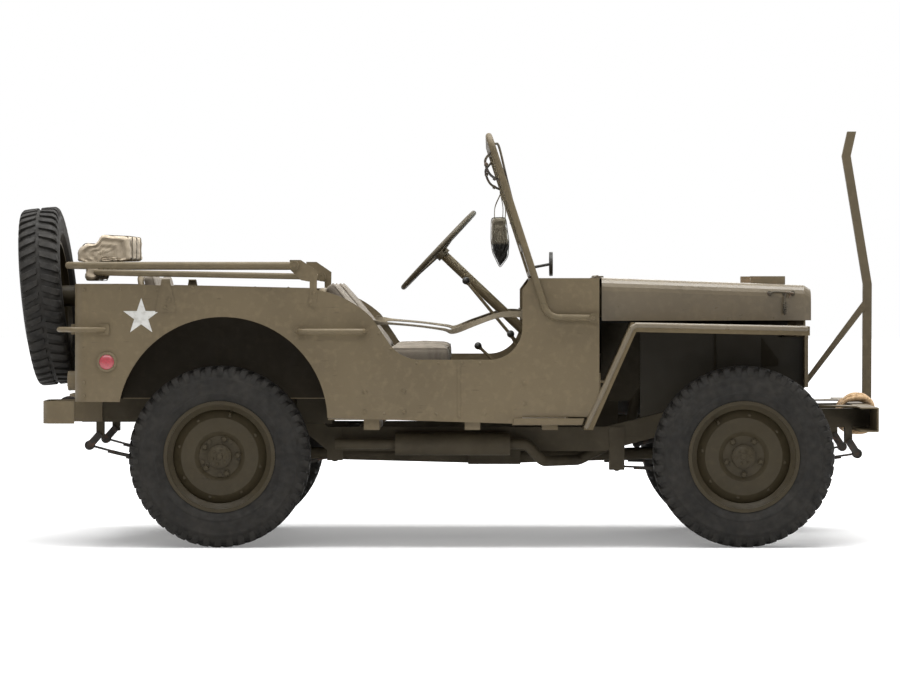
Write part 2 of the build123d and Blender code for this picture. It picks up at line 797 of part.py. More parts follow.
# Gearbox, transfer case and the two propeller shafts
bell_radius = 165
bell_front_x = engine_rear_x
bell_rear_x = 1476
bell_z = 575
gearbox_rear_x = 1170
gearbox_half_width = 105
gearbox_low_z = 405
gearbox_high_z = 590
transfer_rear_x = 960
transfer_right_y = -132
transfer_left_y = 60
transfer_low_z = 300
transfer_high_z = 520
shaft_y = -90
shaft_z = 328
shaft_radius = 24
shaft_gap = 5

with BuildPart() as drive_train:
    rod((bell_rear_x, 0, bell_z), (bell_front_x, 0, bell_z), bell_radius)
    block(gearbox_rear_x, bell_rear_x, -gearbox_half_width, gearbox_half_width,
          gearbox_low_z, gearbox_high_z)
    block(transfer_rear_x, gearbox_rear_x, transfer_right_y, transfer_left_y,
          transfer_low_z, transfer_high_z)
    rod((gearbox_rear_x, shaft_y, shaft_z),
        (front_axle_x - pinion_reach - shaft_gap, differential_y, axle_z), shaft_radius)
    rod((transfer_rear_x, shaft_y, shaft_z),
        (pinion_reach + shaft_gap, differential_y, axle_z), shaft_radius)
keep("drive_train", drive_train)


# Exhaust: down from the engine, under the right rail, through a silencer and out
silencer_y = -440
silencer_z = 393
silencer_rear_x = 676
silencer_front_x = 1127
silencer_radius = 45
pipe_radius = 21
pipe_bend = 35
pipe_route = [
    # x, y, z
    (1105, silencer_y, silencer_z),
    (1190, silencer_y, silencer_z),
    (1255, -430, 325),
    (1400, -240, 322),
    (1600, -212, 420),
    (1640, -212, 640),
]
tailpipe_x = 440
hanger_x = 890
hanger_width = 30
hanger_high_z = 432

with BuildPart() as exhaust:
    rod((silencer_rear_x, silencer_y, silencer_z), (silencer_front_x, silencer_y, silencer_z),
        silencer_radius)
    bent_tube(pipe_route, pipe_bend, pipe_radius)
    top = pipe_route[-1]
    rod(top, (top[0], -engine_half_width - seat_gap, top[2]), pipe_radius)
    rod((tailpipe_x, silencer_y, silencer_z), (silencer_rear_x, silencer_y, silencer_z),
        pipe_radius)
    block(hanger_x, hanger_x + hanger_width, silencer_y, -rail_outer_y,
          silencer_z + pipe_radius, hanger_high_z)
keep("exhaust", exhaust)


# Radiator on two feet, and the fuel tank on the floor under the driver's seat
radiator_rear_x = 2190
radiator_front_x = 2245
radiator_half_width = 225
radiator_low_z = 560
radiator_high_z = 950
foot_inner_y = 100
foot_outer_y = 150
foot_rear_x = 2210
tank_rear_x = 640
tank_front_x = 870
tank_inner_y = 215
tank_outer_y = 605
tank_high_z = 690
tank_corner = 20
floor_front_z = 496
floor_rear_z = 572

with BuildPart() as radiator:
    block(radiator_rear_x, radiator_front_x, -radiator_half_width, radiator_half_width,
          radiator_low_z, radiator_high_z)
    for side in (-1, 1):
        low_y, high_y = sorted((side * foot_inner_y, side * foot_outer_y))
        block(foot_rear_x, radiator_front_x, low_y, high_y,
              front_member_top_z + seat_gap, radiator_low_z)
keep("radiator", radiator)

with BuildPart() as fuel_tank:
    block(tank_rear_x, tank_front_x, tank_inner_y, tank_outer_y,
          floor_front_z + sheet + seat_gap, tank_high_z)
    fillet(fuel_tank.edges().filter_by(Axis.Z), tank_corner)
keep("fuel_tank", fuel_tank)


# Floor: a low front floor, a riser, a higher rear floor, a toe board and a tunnel
floor_half_width = inner_half_width - seat_gap
riser_x = 423
toe_x = 1340
toe_end_x = 1466
toe_end_z = 635
tunnel_rear_x = 900
tunnel_half_width = 140
tunnel_top_z = 610
housing_rear_x = -389
housing_inner_y = 500
housing_top_z = 902
corner_radius = 70
corner_x = -490
corner_y = body_half_width - corner_radius
rear_face_x = corner_x - corner_radius
sill_places = [560, 950, 1250]
sill_width = 60
sill_outer_y = 700
column_hole_radius = 25
hole_half_length = 40

with BuildPart() as floor_pan:
    block(riser_x, toe_x, -floor_half_width, floor_half_width,
          floor_front_z, floor_front_z + sheet)
    block(riser_x, riser_x + sheet, -floor_half_width, floor_half_width,
          floor_front_z, floor_rear_z + sheet)
    block(housing_rear_x, riser_x, -housing_inner_y - sheet, housing_inner_y + sheet,
          floor_rear_z, floor_rear_z + sheet)
    block(corner_x, housing_rear_x, -floor_half_width, floor_half_width,
          floor_rear_z, floor_rear_z + sheet)
    block(rear_face_x + sheet + seat_gap, corner_x, -corner_y, corner_y,
          floor_rear_z, floor_rear_z + sheet)
    side_plate([
        (toe_x, floor_front_z),
        (toe_end_x, toe_end_z),
        (toe_end_x, toe_end_z + sheet),
        (toe_x - sheet, floor_front_z + sheet),
    ], -floor_half_width, floor_half_width)
    block(tunnel_rear_x, toe_end_x, -tunnel_half_width, tunnel_half_width,
          floor_front_z, tunnel_top_z)
    block(tunnel_rear_x + sheet, toe_end_x + cut_overrun,
          -tunnel_half_width + sheet, tunnel_half_width - sheet,
          floor_front_z - cut_overrun, tunnel_top_z - sheet, Mode.SUBTRACT)
    for sill_x in sill_places:
        for side in (-1, 1):
            low_y, high_y = sorted((side * (tunnel_half_width + sheet), side * sill_outer_y))
            block(sill_x, sill_x + sill_width, low_y, high_y,
                  rail_mid_top_z, floor_front_z)
    toe_slope = (toe_end_z - floor_front_z) / (toe_end_x - toe_x)
    column_slope = column_slope_share[2] / column_slope_share[0]
    hole_x = (column_top[2] - column_slope * column_top[0]
              - floor_front_z + toe_slope * toe_x) / (toe_slope - column_slope)
    hole_z = floor_front_z + toe_slope * (hole_x - toe_x)
    reach = Vector(*column_slope_share) * hole_half_length
    rod((hole_x - reach.X, column_y, hole_z - reach.Z),
        (hole_x + reach.X, column_y, hole_z + reach.Z), column_hole_radius, Mode.SUBTRACT)
keep("floor_pan", floor_pan)


# Body sides: flat sheets with the wheel arch, the low cut for getting in and a rear corner
side_bottom_z = 566
sill_bottom_front_z = 481
sill_bottom_rear_z = 504
arch_x = 16
arch_z = 489
arch_radius = 405
cowl_rear_x = 1173
top_rear_z = 1022
top_front_z = 1003
flange_width = 20
entry_lines = [
    # start, through point, end (a straight line where there is no through point)
    ((cowl_rear_x, 849), (1134, 764), (1052, 729)),
    ((1052, 729), None, (775, 729)),
    ((775, 729), (695, 755), (650, 805)),
    ((650, 805), None, (590, 893)),
    ((590, 893), (475, 970), (345, top_front_z)),
]
entry_end_x = entry_lines[-1][2][0]

with BuildPart() as side_panel_left:
    with BuildSketch(Plane.XZ.offset(-body_half_width)) as face:
        with BuildLine():
            for start, through, end in entry_lines:
                if through:
                    ThreePointArc(start, through, end)
                else:
                    Line(start, end)
            Polyline(
                (entry_end_x, top_front_z),
                (corner_x, top_rear_z),
                (corner_x, side_bottom_z),
                (housing_rear_x, side_bottom_z),
                (arch_x + arch_radius, sill_bottom_rear_z),
                (cowl_rear_x, sill_bottom_front_z),
                entry_lines[0][0],
            )
        make_face()
    extrude(face.sketch, amount=sheet, dir=(0, -1, 0))
    rod((arch_x, body_half_width - cut_overrun, arch_z),
        (arch_x, body_half_width + cut_overrun, arch_z), arch_radius, Mode.SUBTRACT)
    side_plate([
        (corner_x, top_rear_z - sheet),
        (corner_x, top_rear_z),
        (entry_end_x, top_front_z),
        (entry_end_x, top_front_z - sheet),
    ], inner_half_width - flange_width, inner_half_width)
    with BuildSketch(Plane.XY.offset(side_bottom_z)) as corner:
        with BuildLine():
            outside = CenterArc((corner_x, corner_y), corner_radius, 90, 90)
            inside = CenterArc((corner_x, corner_y), corner_radius - sheet, 90, 90)
            Line(outside @ 0, inside @ 0)
            Line(outside @ 1, inside @ 1)
        make_face()
    extrude(corner.sketch, amount=top_rear_z - side_bottom_z)
keep("side_panel_left", side_panel_left)

with BuildPart() as side_panel_right:
    add(mirror(side_panel_left.part, about=Plane.XZ))
keep("side_panel_right", side_panel_right)


# Rear panel, with four holes for a fuel can's bracket, left of the spare wheel
can_hole_radius = 5
can_hole_y = 330
can_hole_z = 800
can_spacing = 200
panel_low_z = rail_rear_top_z + seat_gap

with BuildPart() as rear_panel:
    block(rear_face_x, rear_face_x + sheet, -corner_y, corner_y, panel_low_z, top_rear_z)
    block(rear_face_x + sheet, rear_face_x + sheet + flange_width, -corner_y, corner_y,
          top_rear_z - sheet, top_rear_z)
    for across in (-1, 1):
        for level in (-1, 1):
            hole_y = can_hole_y + across * can_spacing / 2
            hole_z = can_hole_z + level * can_spacing / 2
            rod((rear_face_x - cut_overrun, hole_y, hole_z),
                (rear_face_x + cut_overrun, hole_y, hole_z), can_hole_radius, Mode.SUBTRACT)
keep("rear_panel", rear_panel)


# Wheel housings: boxes over the rear wheels, open to the side and below
with BuildPart() as wheel_housings:
    block(housing_rear_x - sheet, riser_x + sheet, housing_inner_y, floor_half_width,
          floor_rear_z + sheet, housing_top_z)
    block(housing_rear_x, riser_x, housing_inner_y + sheet, floor_half_width + cut_overrun,
          floor_rear_z - cut_overrun, housing_top_z - sheet, Mode.SUBTRACT)
    both_sides()
keep("wheel_housings", wheel_housings)


# Cowl: the box ahead of the doorways, with the firewall and the hood's hinge barrel
cowl_front_x = 1470
cowl_top_z = 1044
cowl_corner = 45
cowl_top_rear_x = 1205
cowl_slant_z = 1000
cowl_cut_x = 1412
cowl_cut_z = 601
firewall_low_z = toe_end_z + sheet
hinge_x = 1472
hinge_z = 1050
hinge_radius = 6
hinge_inner_y = 300
hinge_gap = 2
hinge_outer_y = 360

with BuildPart() as cowl:
    with BuildSketch(Plane.YZ.offset(cowl_rear_x)) as section:
        with BuildLine():
            Polyline(
                (-body_half_width, sill_bottom_front_z),
                (-body_half_width, cowl_top_z),
                (body_half_width, cowl_top_z),
                (body_half_width, sill_bottom_front_z),
                close=True,
            )
        make_face()
        fillet(section.vertices().sort_by(Axis.Z)[-2:], cowl_corner)
    extrude(section.sketch, amount=cowl_front_x - cowl_rear_x)
    with BuildSketch(Plane.YZ.offset(cowl_rear_x - cut_overrun)) as hollow:
        with BuildLine():
            Polyline(
                (-inner_half_width, sill_bottom_front_z - cut_overrun),
                (-inner_half_width, cowl_top_z - sheet),
                (inner_half_width, cowl_top_z - sheet),
                (inner_half_width, sill_bottom_front_z - cut_overrun),
                close=True,
            )
        make_face()
        fillet(hollow.vertices().sort_by(Axis.Z)[-2:], cowl_corner - sheet)
    extrude(hollow.sketch, amount=cowl_front_x - cowl_rear_x + cut_overrun - sheet,
            mode=Mode.SUBTRACT)
    block(cowl_front_x - sheet - cut_overrun, cowl_front_x + cut_overrun,
          -inner_half_width, inner_half_width,
          sill_bottom_front_z - cut_overrun, firewall_low_z, Mode.SUBTRACT)
    side_plate([
        (cowl_rear_x - cut_overrun, cowl_slant_z),
        (cowl_rear_x, cowl_slant_z),
        (cowl_top_rear_x, cowl_top_z),
        (cowl_top_rear_x, cowl_top_z + cut_overrun),
        (cowl_rear_x - cut_overrun, cowl_top_z + cut_overrun),
    ], -body_half_width - cut_overrun, body_half_width + cut_overrun, Mode.SUBTRACT)
    side_plate([
        (cowl_cut_x, sill_bottom_front_z),
        (cowl_front_x, cowl_cut_z),
        (cowl_front_x + cut_overrun, cowl_cut_z),
        (cowl_front_x + cut_overrun, sill_bottom_front_z - cut_overrun),
        (cowl_cut_x, sill_bottom_front_z - cut_overrun),
    ], -body_half_width - cut_overrun, body_half_width + cut_overrun, Mode.SUBTRACT)
    rod((hinge_x, -hinge_inner_y, hinge_z), (hinge_x, hinge_inner_y, hinge_z), hinge_radius)
    block(hinge_x - 2 * hinge_radius, hinge_x, -hinge_inner_y, hinge_inner_y,
          cowl_top_z, hinge_z - hinge_radius / 2)
keep("cowl", cowl)


# Instrument panel across the cowl
dash_x = 1209
dash_low_z = 900

with BuildPart() as instrument_panel:
    block(dash_x, dash_x + sheet, -floor_half_width, floor_half_width,
          dash_low_z, cowl_top_z - cowl_corner)
    block(dash_x, dash_x + sheet, -body_half_width + cowl_corner, body_half_width - cowl_corner,
          cowl_top_z - cowl_corner, cowl_top_z - sheet - seat_gap)
keep("instrument_panel", instrument_panel)


# Hood: one sheet with rounded shoulders, open below, that narrows towards its nose
hood_low_z = 878
hood_shoulder = 50
shoulder_facets = 5
hood_sections = [
    # x, half width, top
    (1483, 600, 1046),
    (2285, 416, 1017),
    (2312, 405, 1000),
]
hood_lip_low_z = 970
hood_mouth_half_width = 396


def hood_outline(half_width, top, low_z, radius):
    """Half of a hood section from its low edge up to its middle, as (y, z) points."""
    outline = [(half_width, low_z)]
    for count in range(shoulder_facets + 1):
        angle = radians(90 * count / shoulder_facets)
        outline.append((half_width - radius + radius * cos(angle),
                        top - radius + radius * sin(angle)))
    return outline


def hood_body(inset, low_z, rear_x, mode=Mode.ADD):
    """The hood's outer form as a solid, drawn in by an inset."""
    (first_x, first_half, first_top), (second_x, second_half, second_top) = hood_sections[:2]
    share = (rear_x - first_x) / (second_x - first_x)
    rear_half = first_half + share * (second_half - first_half)
    rear_top = first_top + share * (second_top - first_top)
    nose_x, nose_half, nose_top = hood_sections[2]
    outlines = []
    for x, half, top in ((rear_x, rear_half, rear_top), (second_x, second_half, second_top),
                         (nose_x - inset, nose_half, nose_top)):
        right = hood_outline(half - inset, top - inset, low_z, hood_shoulder - inset)
        left = [(-y, z) for y, z in reversed(right)]
        with BuildSketch(Plane.YZ.offset(x)) as section:
            with BuildLine():
                Polyline(*(right + left), close=True)
            make_face()
        outlines.append(section.sketch)
    loft(outlines, ruled=True, mode=mode)


def hood_top(x):
    """Height of the hood's top between its first two sections."""
    (rear_x, _, rear_top), (front_x, _, front_top) = hood_sections[:2]
    return rear_top + (x - rear_x) / (front_x - rear_x) * (front_top - rear_top)


with BuildPart() as hood:
    hood_body(0, hood_low_z, hood_sections[0][0])
    hood_body(sheet, hood_low_z - cut_overrun, hood_sections[0][0] - cut_overrun, Mode.SUBTRACT)
    block(hood_sections[1][0], hood_sections[2][0] + cut_overrun,
          -hood_mouth_half_width, hood_mouth_half_width,
          hood_low_z - cut_overrun, hood_lip_low_z, Mode.SUBTRACT)
    for side in (-1, 1):
        low_y, high_y = sorted((side * (hinge_inner_y + hinge_gap), side * hinge_outer_y))
        rod((hinge_x, low_y, hinge_z), (hinge_x, high_y, hinge_z), hinge_radius)
        block(hinge_x, hinge_x + 4 * hinge_radius, low_y, high_y,
              hood_sections[0][2] - sheet / 2, hinge_z + hinge_radius / 2)
keep("hood", hood)


# Wood blocks on the hood that carry the folded windshield
block_rear_x = 2078
block_front_x = 2214
block_top_z = 1052
block_inner_y = 280
block_outer_y = 345

with BuildPart() as hood_blocks:
    side_plate([
        (block_rear_x, hood_top(block_rear_x) + seat_gap),
        (block_front_x, hood_top(block_front_x) + seat_gap),
        (block_front_x, block_top_z),
        (block_rear_x, block_top_z),
    ], block_inner_y, block_outer_y)
    both_sides()
keep("hood_blocks", hood_blocks)


# Grille: a pressed plate with nine slots and two round lamp holes
grille_rear_x = 2283
grille_low_z = 616
grille_high_z = 980
grille_step_z = 870
grille_top_half = 395
grille_low_half = 455
slot_count = 9
slot_width = 31
slot_pitch = 48
slot_low_z = 650
slot_high_z = 955
lamp_y = 305
lamp_z = 850
lamp_hole_radius = 80
grille_foot_depth = 22
grille_foot_inner_y = 338
grille_foot_outer_y = 370
lip_depth = 14

with BuildPart() as grille:
    with BuildSketch(Plane.YZ.offset(grille_rear_x)) as plate:
        with BuildLine():
            Polyline(
                (-grille_low_half, grille_low_z),
                (-grille_low_half, grille_step_z - lip_depth),
                (-grille_top_half, grille_step_z - lip_depth),
                (-grille_top_half, grille_high_z),
                (grille_top_half, grille_high_z),
                (grille_top_half, grille_step_z - lip_depth),
                (grille_low_half, grille_step_z - lip_depth),
                (grille_low_half, grille_low_z),
                close=True,
            )
        make_face()
        with Locations((0, (slot_low_z + slot_high_z) / 2)):
            with GridLocations(slot_pitch, slot_pitch, slot_count, 1):
                Rectangle(slot_width, slot_high_z - slot_low_z, mode=Mode.SUBTRACT)
        with Locations((-lamp_y, lamp_z), (lamp_y, lamp_z)):
            Circle(lamp_hole_radius, mode=Mode.SUBTRACT)
    extrude(plate.sketch, amount=sheet)
    foot_low_z = front_rail_top(grille_rear_x + sheet) + seat_gap
    for side in (-1, 1):
        low_y, high_y = sorted((side * grille_foot_inner_y, side * grille_foot_outer_y))
        block(grille_rear_x - grille_foot_depth, grille_rear_x + sheet, low_y, high_y,
              foot_low_z, grille_low_z + cut_overrun)
        low_y, high_y = sorted((side * grille_low_half, side * (grille_low_half - sheet)))
        block(grille_rear_x, grille_rear_x + lip_depth, low_y, high_y,
              grille_low_z, grille_step_z - lip_depth)
keep("grille", grille)


# Headlamps: bowls behind the grille's holes, bracketed to the fender aprons
lamp_radius = 76
bowl_rear_x = 2205
bowl_knee_x = 2255
lamp_face_x = 2288
bowl_back_radius = 38
apron_inner_y = 371
bracket_rear_x = 2240
bracket_half = 12
bracket_low_z = 730

with BuildPart() as headlamps:
    for side in (-1, 1):
        turned_about([
            (0, 0),
            (bowl_back_radius, 0),
            (lamp_radius, bowl_knee_x - bowl_rear_x),
            (lamp_radius, lamp_face_x - bowl_rear_x),
            (0, lamp_face_x - bowl_rear_x),
        ], (bowl_rear_x, side * lamp_y, lamp_z), (1, 0, 0))
        low_y, high_y = sorted((side * lamp_y, side * (apron_inner_y - seat_gap)))
        block(bracket_rear_x, bracket_rear_x + bracket_half, low_y, high_y,
              bracket_low_z, bracket_low_z + 2 * bracket_half)
        block(bracket_rear_x, bracket_rear_x + bracket_half,
              side * lamp_y - bracket_half, side * lamp_y + bracket_half,
              bracket_low_z, lamp_z)
keep("headlamps", headlamps)


# Front fenders: a flat top, a slope down behind the wheel, an outer lip and an apron
fender_knee = (1596, 871)
fender_foot = (1410, 458)
fender_front = (2282.7, 857)
fender_inner_y = 371
slope_inner_y = 440
lip_height = 35
fender_slant_share = 0.45
shelf_z = 640
shelf_low_z = 606
apron_outline = [
    (1640, 495),
    (1750, 521),
    (2282.7, 529),
    (2282.7, 857),
    (1640, 868),
]


def slope_x(z):
    """Place of the sloping sheet's rear face at a height."""
    share = (z - fender_foot[1]) / (fender_knee[1] - fender_foot[1])
    return fender_foot[0] + share * (fender_knee[0] - fender_foot[0])


with BuildPart() as front_fenders:
    side_plate([
        (fender_knee[0], fender_knee[1]),
        fender_front,
        (fender_front[0], fender_front[1] - sheet),
        (fender_knee[0], fender_knee[1] - sheet),
    ], fender_inner_y, body_half_width)
    side_plate([
        fender_knee,
        fender_foot,
        (fender_foot[0] + sheet, fender_foot[1]),
        (fender_knee[0] + sheet, fender_knee[1] - sheet / 2),
    ], slope_inner_y, body_half_width)
    side_plate([
        fender_knee,
        fender_foot,
        (fender_foot[0] + lip_height, fender_foot[1]),
        (fender_knee[0] + lip_height * fender_slant_share, fender_knee[1] - lip_height),
        (fender_front[0], fender_front[1] - lip_height),
        fender_front,
    ], inner_half_width, body_half_width)
    side_plate(apron_outline, apron_inner_y, apron_inner_y + sheet)
    block(cowl_front_x + seat_gap, cowl_front_x + seat_gap + sheet,
          slope_inner_y, floor_half_width, shelf_low_z, shelf_z + lip_height)
    side_plate([
        (cowl_front_x + seat_gap, shelf_z),
        (slope_x(shelf_z) + sheet / 2, shelf_z),
        (slope_x(shelf_z) + sheet / 2, shelf_z + sheet),
        (cowl_front_x + seat_gap, shelf_z + sheet),
    ], slope_inner_y, floor_half_width)
    rod((bowl_rear_x - cut_overrun, lamp_y, lamp_z), (lamp_face_x + cut_overrun, lamp_y, lamp_z),
        lamp_hole_radius, Mode.SUBTRACT)
    both_sides()
keep("front_fenders", front_fenders)


# Windshield: one bent tube on two pivots, with a lower panel and a glass frame
frame_y = 748
frame_tube_radius = 13
shield_pivot_x = 1445
shield_pivot_z = 890
shield_knee = (1271, 893)
shield_top = (1043.7, 1592.8)
shield_base_x = 1215.5
shield_base_z = 1064
shield_lean = (-0.309, 0, 0.951)
knee_bend = 75
corner_bend = 60
eye_outer_radius = 18
eye_half_width = 14
eye_margin = 1
pin_radius = 8
bore_radius = 8.4
shield_half_width = 736
panel_high = 98
panel_half_depth = 3
frame_half_depth = 8
frame_high = 545
glass_low = 128
glass_high = 518
glass_inner_y = 16
glass_outer_y = 700
glass_half_depth = 3
glass_fit = 0.3

shield_plane = Plane(origin=(shield_base_x, 0, shield_base_z), x_dir=(0, 1, 0),
                     z_dir=Vector(0, 1, 0).cross(Vector(*shield_lean)))


def shield_slab(y_low, y_high, low, high, half_depth, mode=Mode.ADD):
    """A flat slab in the windshield's plane, between two heights along it."""
    with BuildSketch(shield_plane.offset(-half_depth)) as slab:
        with Locations(((y_low + y_high) / 2, (low + high) / 2)):
            Rectangle(y_high - y_low, high - low)
    extrude(slab.sketch, amount=2 * half_depth, mode=mode)


with BuildPart() as windshield_frame:
    bent_tube([
        (shield_pivot_x, -frame_y, shield_pivot_z),
        (shield_knee[0], -frame_y, shield_knee[1]),
        (shield_top[0], -frame_y, shield_top[1]),
        (shield_top[0], frame_y, shield_top[1]),
        (shield_knee[0], frame_y, shield_knee[1]),
        (shield_pivot_x, frame_y, shield_pivot_z),
    ], corner_bend, frame_tube_radius)
    rod((shield_base_x, -frame_y, shield_base_z), (shield_base_x, frame_y, shield_base_z),
        frame_tube_radius)
    shield_slab(-shield_half_width, shield_half_width, 0, panel_high, panel_half_depth)
    shield_slab(-shield_half_width, shield_half_width, panel_high, frame_high,
                frame_half_depth)
    for side in (-1, 1):
        low_y, high_y = sorted((side * glass_inner_y, side * glass_outer_y))
        shield_slab(low_y, high_y, glass_low, glass_high, 2 * frame_half_depth, Mode.SUBTRACT)
        rod((shield_pivot_x, side * frame_y - eye_half_width, shield_pivot_z),
            (shield_pivot_x, side * frame_y + eye_half_width, shield_pivot_z),
            eye_outer_radius)
        rod((shield_pivot_x, side * frame_y - 2 * eye_half_width, shield_pivot_z),
            (shield_pivot_x, side * frame_y + 2 * eye_half_width, shield_pivot_z),
            bore_radius, Mode.SUBTRACT)
keep("windshield_frame", windshield_frame)

with BuildPart() as windshield_glass:
    for side in (-1, 1):
        low_y, high_y = sorted((side * (glass_inner_y + glass_fit),
                                side * (glass_outer_y - glass_fit)))
        shield_slab(low_y, high_y, glass_low + glass_fit, glass_high - glass_fit,
                    glass_half_depth)
keep("windshield_glass", windshield_glass)


# Mirror: a round mirror on a stem from the windshield's left tube
mirror_x = 1299
mirror_depth = 13
mirror_stand_off = 5
mirror_y = body_half_width + mirror_stand_off
mirror_z = 1105
mirror_radius = 51
stem_radius = 6
stem_end = (1221.6, 746, 1089.3)

with BuildPart() as mirror_head:
    rod((mirror_x, mirror_y, mirror_z), (mirror_x + mirror_depth, mirror_y, mirror_z),
        mirror_radius)
    rod(stem_end, (mirror_x + stem_radius, mirror_y, mirror_z), stem_radius)
keep("mirror", mirror_head)


# Pouch: a canvas bag that hangs behind the windshield from a strap
pouch_outline = [
    (1052, 1090),
    (1118, 1083),
    (1128, 1180),
    (1112, 1290),
    (1062, 1288),
]
pouch_half_width = 170
strap_half_width = 12
pouch_strap_outline = [
    (1096, 1286),
    (1100, 1286),
    (1093.5, 1412),
    (1089.5, 1412),
]

with BuildPart() as windshield_pouch:
    side_plate(pouch_outline, -pouch_half_width, pouch_half_width)
    side_plate(pouch_strap_outline, -strap_half_width, strap_half_width)
keep("windshield_pouch", windshield_pouch)


# Top bows: two bent tubes folded down round the back of the body
bow_radius = 13.5
bow_stand_off = 18
bow_y = body_half_width + bow_stand_off
bow_pivot_x = 293
bow_pivot_z = 1093
bow_rear_x = -585
bow_rear_z = 1093.5
bow_bend = 90
low_bow_radius = 12
low_bow_y = body_half_width - bow_stand_off
low_pivot_x = 340
low_pivot_z = 1050
low_bow_rear_x = -480
low_bow_rear_z = 1066


def top_bow(pivot, rear, half_width, radius):
    """A U of tube between two pivot eyes."""
    bent_tube([
        (pivot[0], -half_width, pivot[1]),
        (rear[0], -half_width, rear[1]),
        (rear[0], half_width, rear[1]),
        (pivot[0], half_width, pivot[1]),
    ], bow_bend, radius)
    for side in (-1, 1):
        eye_half = radius + eye_margin
        rod((pivot[0], side * half_width - eye_half, pivot[1]),
            (pivot[0], side * half_width + eye_half, pivot[1]), eye_outer_radius)
        rod((pivot[0], side * half_width - 2 * radius, pivot[1]),
            (pivot[0], side * half_width + 2 * radius, pivot[1]), bore_radius, Mode.SUBTRACT)


with BuildPart() as top_bow_front:
    top_bow((bow_pivot_x, bow_pivot_z), (bow_rear_x, bow_rear_z), bow_y, bow_radius)
keep("top_bow_front", top_bow_front)

with BuildPart() as top_bow_rear:
    top_bow((low_pivot_x, low_pivot_z), (low_bow_rear_x, low_bow_rear_z), low_bow_y,
            low_bow_radius)
keep("top_bow_rear", top_bow_rear)


# Canvas top, rolled up and tied on the front bow
canvas_half_width = 300
canvas_outline = [
    (-597, 1107.5),
    (-597, 1150),
    (-570, 1188),
    (-508, 1185),
    (-500, 1221),
    (-372, 1215),
    (-372, 1110),
    (-505, 1107.5),
    (-508, 1030),
    (-565, 1030),
    (-565, 1107.5),
]

with BuildPart() as canvas_roll:
    side_plate(canvas_outline, -canvas_half_width, canvas_half_width)
keep("canvas_roll", canvas_roll)


# Brackets on the body: bow pivots, bow rests and the windshield's pivot pins
pin_reach = 38
pin_reach_y = body_half_width + pin_reach
bracket_plate = 3
bow_bracket_outline = [
    (352, 933),
    (379, 933),
    (381, 1071),
    (318, 1114),
    (275, 1114),
    (275, 1078),
    (318, 1036),
    (352, 1030),
]
bow_rest_outline = [
    (-244, 913),
    (-163, 913),
    (-188, 1040),
    (-219, 1040),
]
rest_inner_y = 700
pin_plate_half = 24

with BuildPart() as body_brackets:
    side_plate(bow_bracket_outline, body_half_width, body_half_width + bracket_plate)
    rod((bow_pivot_x, body_half_width, bow_pivot_z),
        (bow_pivot_x, pin_reach_y, bow_pivot_z), pin_radius)
    rod((low_pivot_x, low_bow_y - low_bow_radius, low_pivot_z),
        (low_pivot_x, body_half_width + bracket_plate, low_pivot_z), pin_radius)
    side_plate(bow_rest_outline, body_half_width, body_half_width + bracket_plate)
    rest_low_x, rest_high_x = bow_rest_outline[3][0], bow_rest_outline[2][0]
    rest_top_z = bow_rest_outline[2][1]
    block(rest_low_x, rest_high_x, rest_inner_y, body_half_width + bracket_plate,
          rest_top_z - sheet, rest_top_z)
    block(shield_pivot_x - pin_plate_half, shield_pivot_x + pin_plate_half,
          body_half_width, body_half_width + bracket_plate,
          shield_pivot_z - pin_plate_half, shield_pivot_z + pin_plate_half)
    rod((shield_pivot_x, body_half_width, shield_pivot_z),
        (shield_pivot_x, pin_reach_y, shield_pivot_z), pin_radius)
    both_sides()
keep("body_brackets", body_brackets)


# Grab handles on the body's sides and rear corners
grip_radius = 11
grip_y = grip_reach - grip_radius
grip_z = 838
grip_rear_x = 313
grip_front_x = 560
grip_plate_half = 25
grip_plate_half_height = 19
grip_bend = 25
rear_grip_radius = 10
rear_grip_z = 845
rear_grip_bend = 22
rear_grip_route = [
    # x, distance out from the body's side
    (-440, 10),
    (-470, 35),
    (-560, 35),
    (-618, -30),
    (-618, -80),
    (-570, -102),
]
grip_pad_depth = 6
grip_pad_half = 20

with BuildPart() as body_grips:
    foot_y = body_half_width + bracket_plate / 2
    bent_tube([
        (grip_rear_x, foot_y, grip_z),
        (grip_rear_x, grip_y, grip_z),
        (grip_front_x, grip_y, grip_z),
        (grip_front_x, foot_y, grip_z),
    ], grip_bend, grip_radius)
    for foot_x in (grip_rear_x, grip_front_x):
        block(foot_x - grip_plate_half, foot_x + grip_plate_half,
              body_half_width, body_half_width + bracket_plate,
              grip_z - grip_plate_half_height, grip_z + grip_plate_half_height)
    bent_tube([(x, body_half_width + out, rear_grip_z) for x, out in rear_grip_route], rear_grip_bend,
              rear_grip_radius)
    front_foot, rear_foot = rear_grip_route[0], rear_grip_route[-1]
    block(front_foot[0] - grip_pad_half, front_foot[0] + grip_pad_half,
          body_half_width, body_half_width + grip_pad_depth + rear_grip_radius / 2,
          rear_grip_z - grip_pad_half, rear_grip_z + grip_pad_half)
    block(rear_face_x - grip_pad_depth - rear_grip_radius, rear_face_x,
          body_half_width + rear_foot[1] - grip_pad_half,
          body_half_width + rear_foot[1] + grip_pad_half,
          rear_grip_z - grip_pad_half, rear_grip_z + grip_pad_half)
    both_sides()
keep("body_grips", body_grips)


# Seats: two bucket seats and a rear bench, as tube frames with padded cushions
seat_tube_radius = 12
seat_leg_radius = 10
seat_pan = 9
seats = [
    # inner y, outer y, rear x, front x, floor top, pan bottom, cushion top, lean, back length
    (-630, -190, 636, 890, 500, 690.5, 784, 39, 385),
    (190, 630, 636, 890, 500, 690.5, 784, 39, 385),
    (-470, 470, -250, 150, 576, 750, 830, 15, 300),
]
leg_inset = 12
cushion_set_in = 16
back_start = 45
back_depth = 50
back_gap = 1
cushion_corner = 18

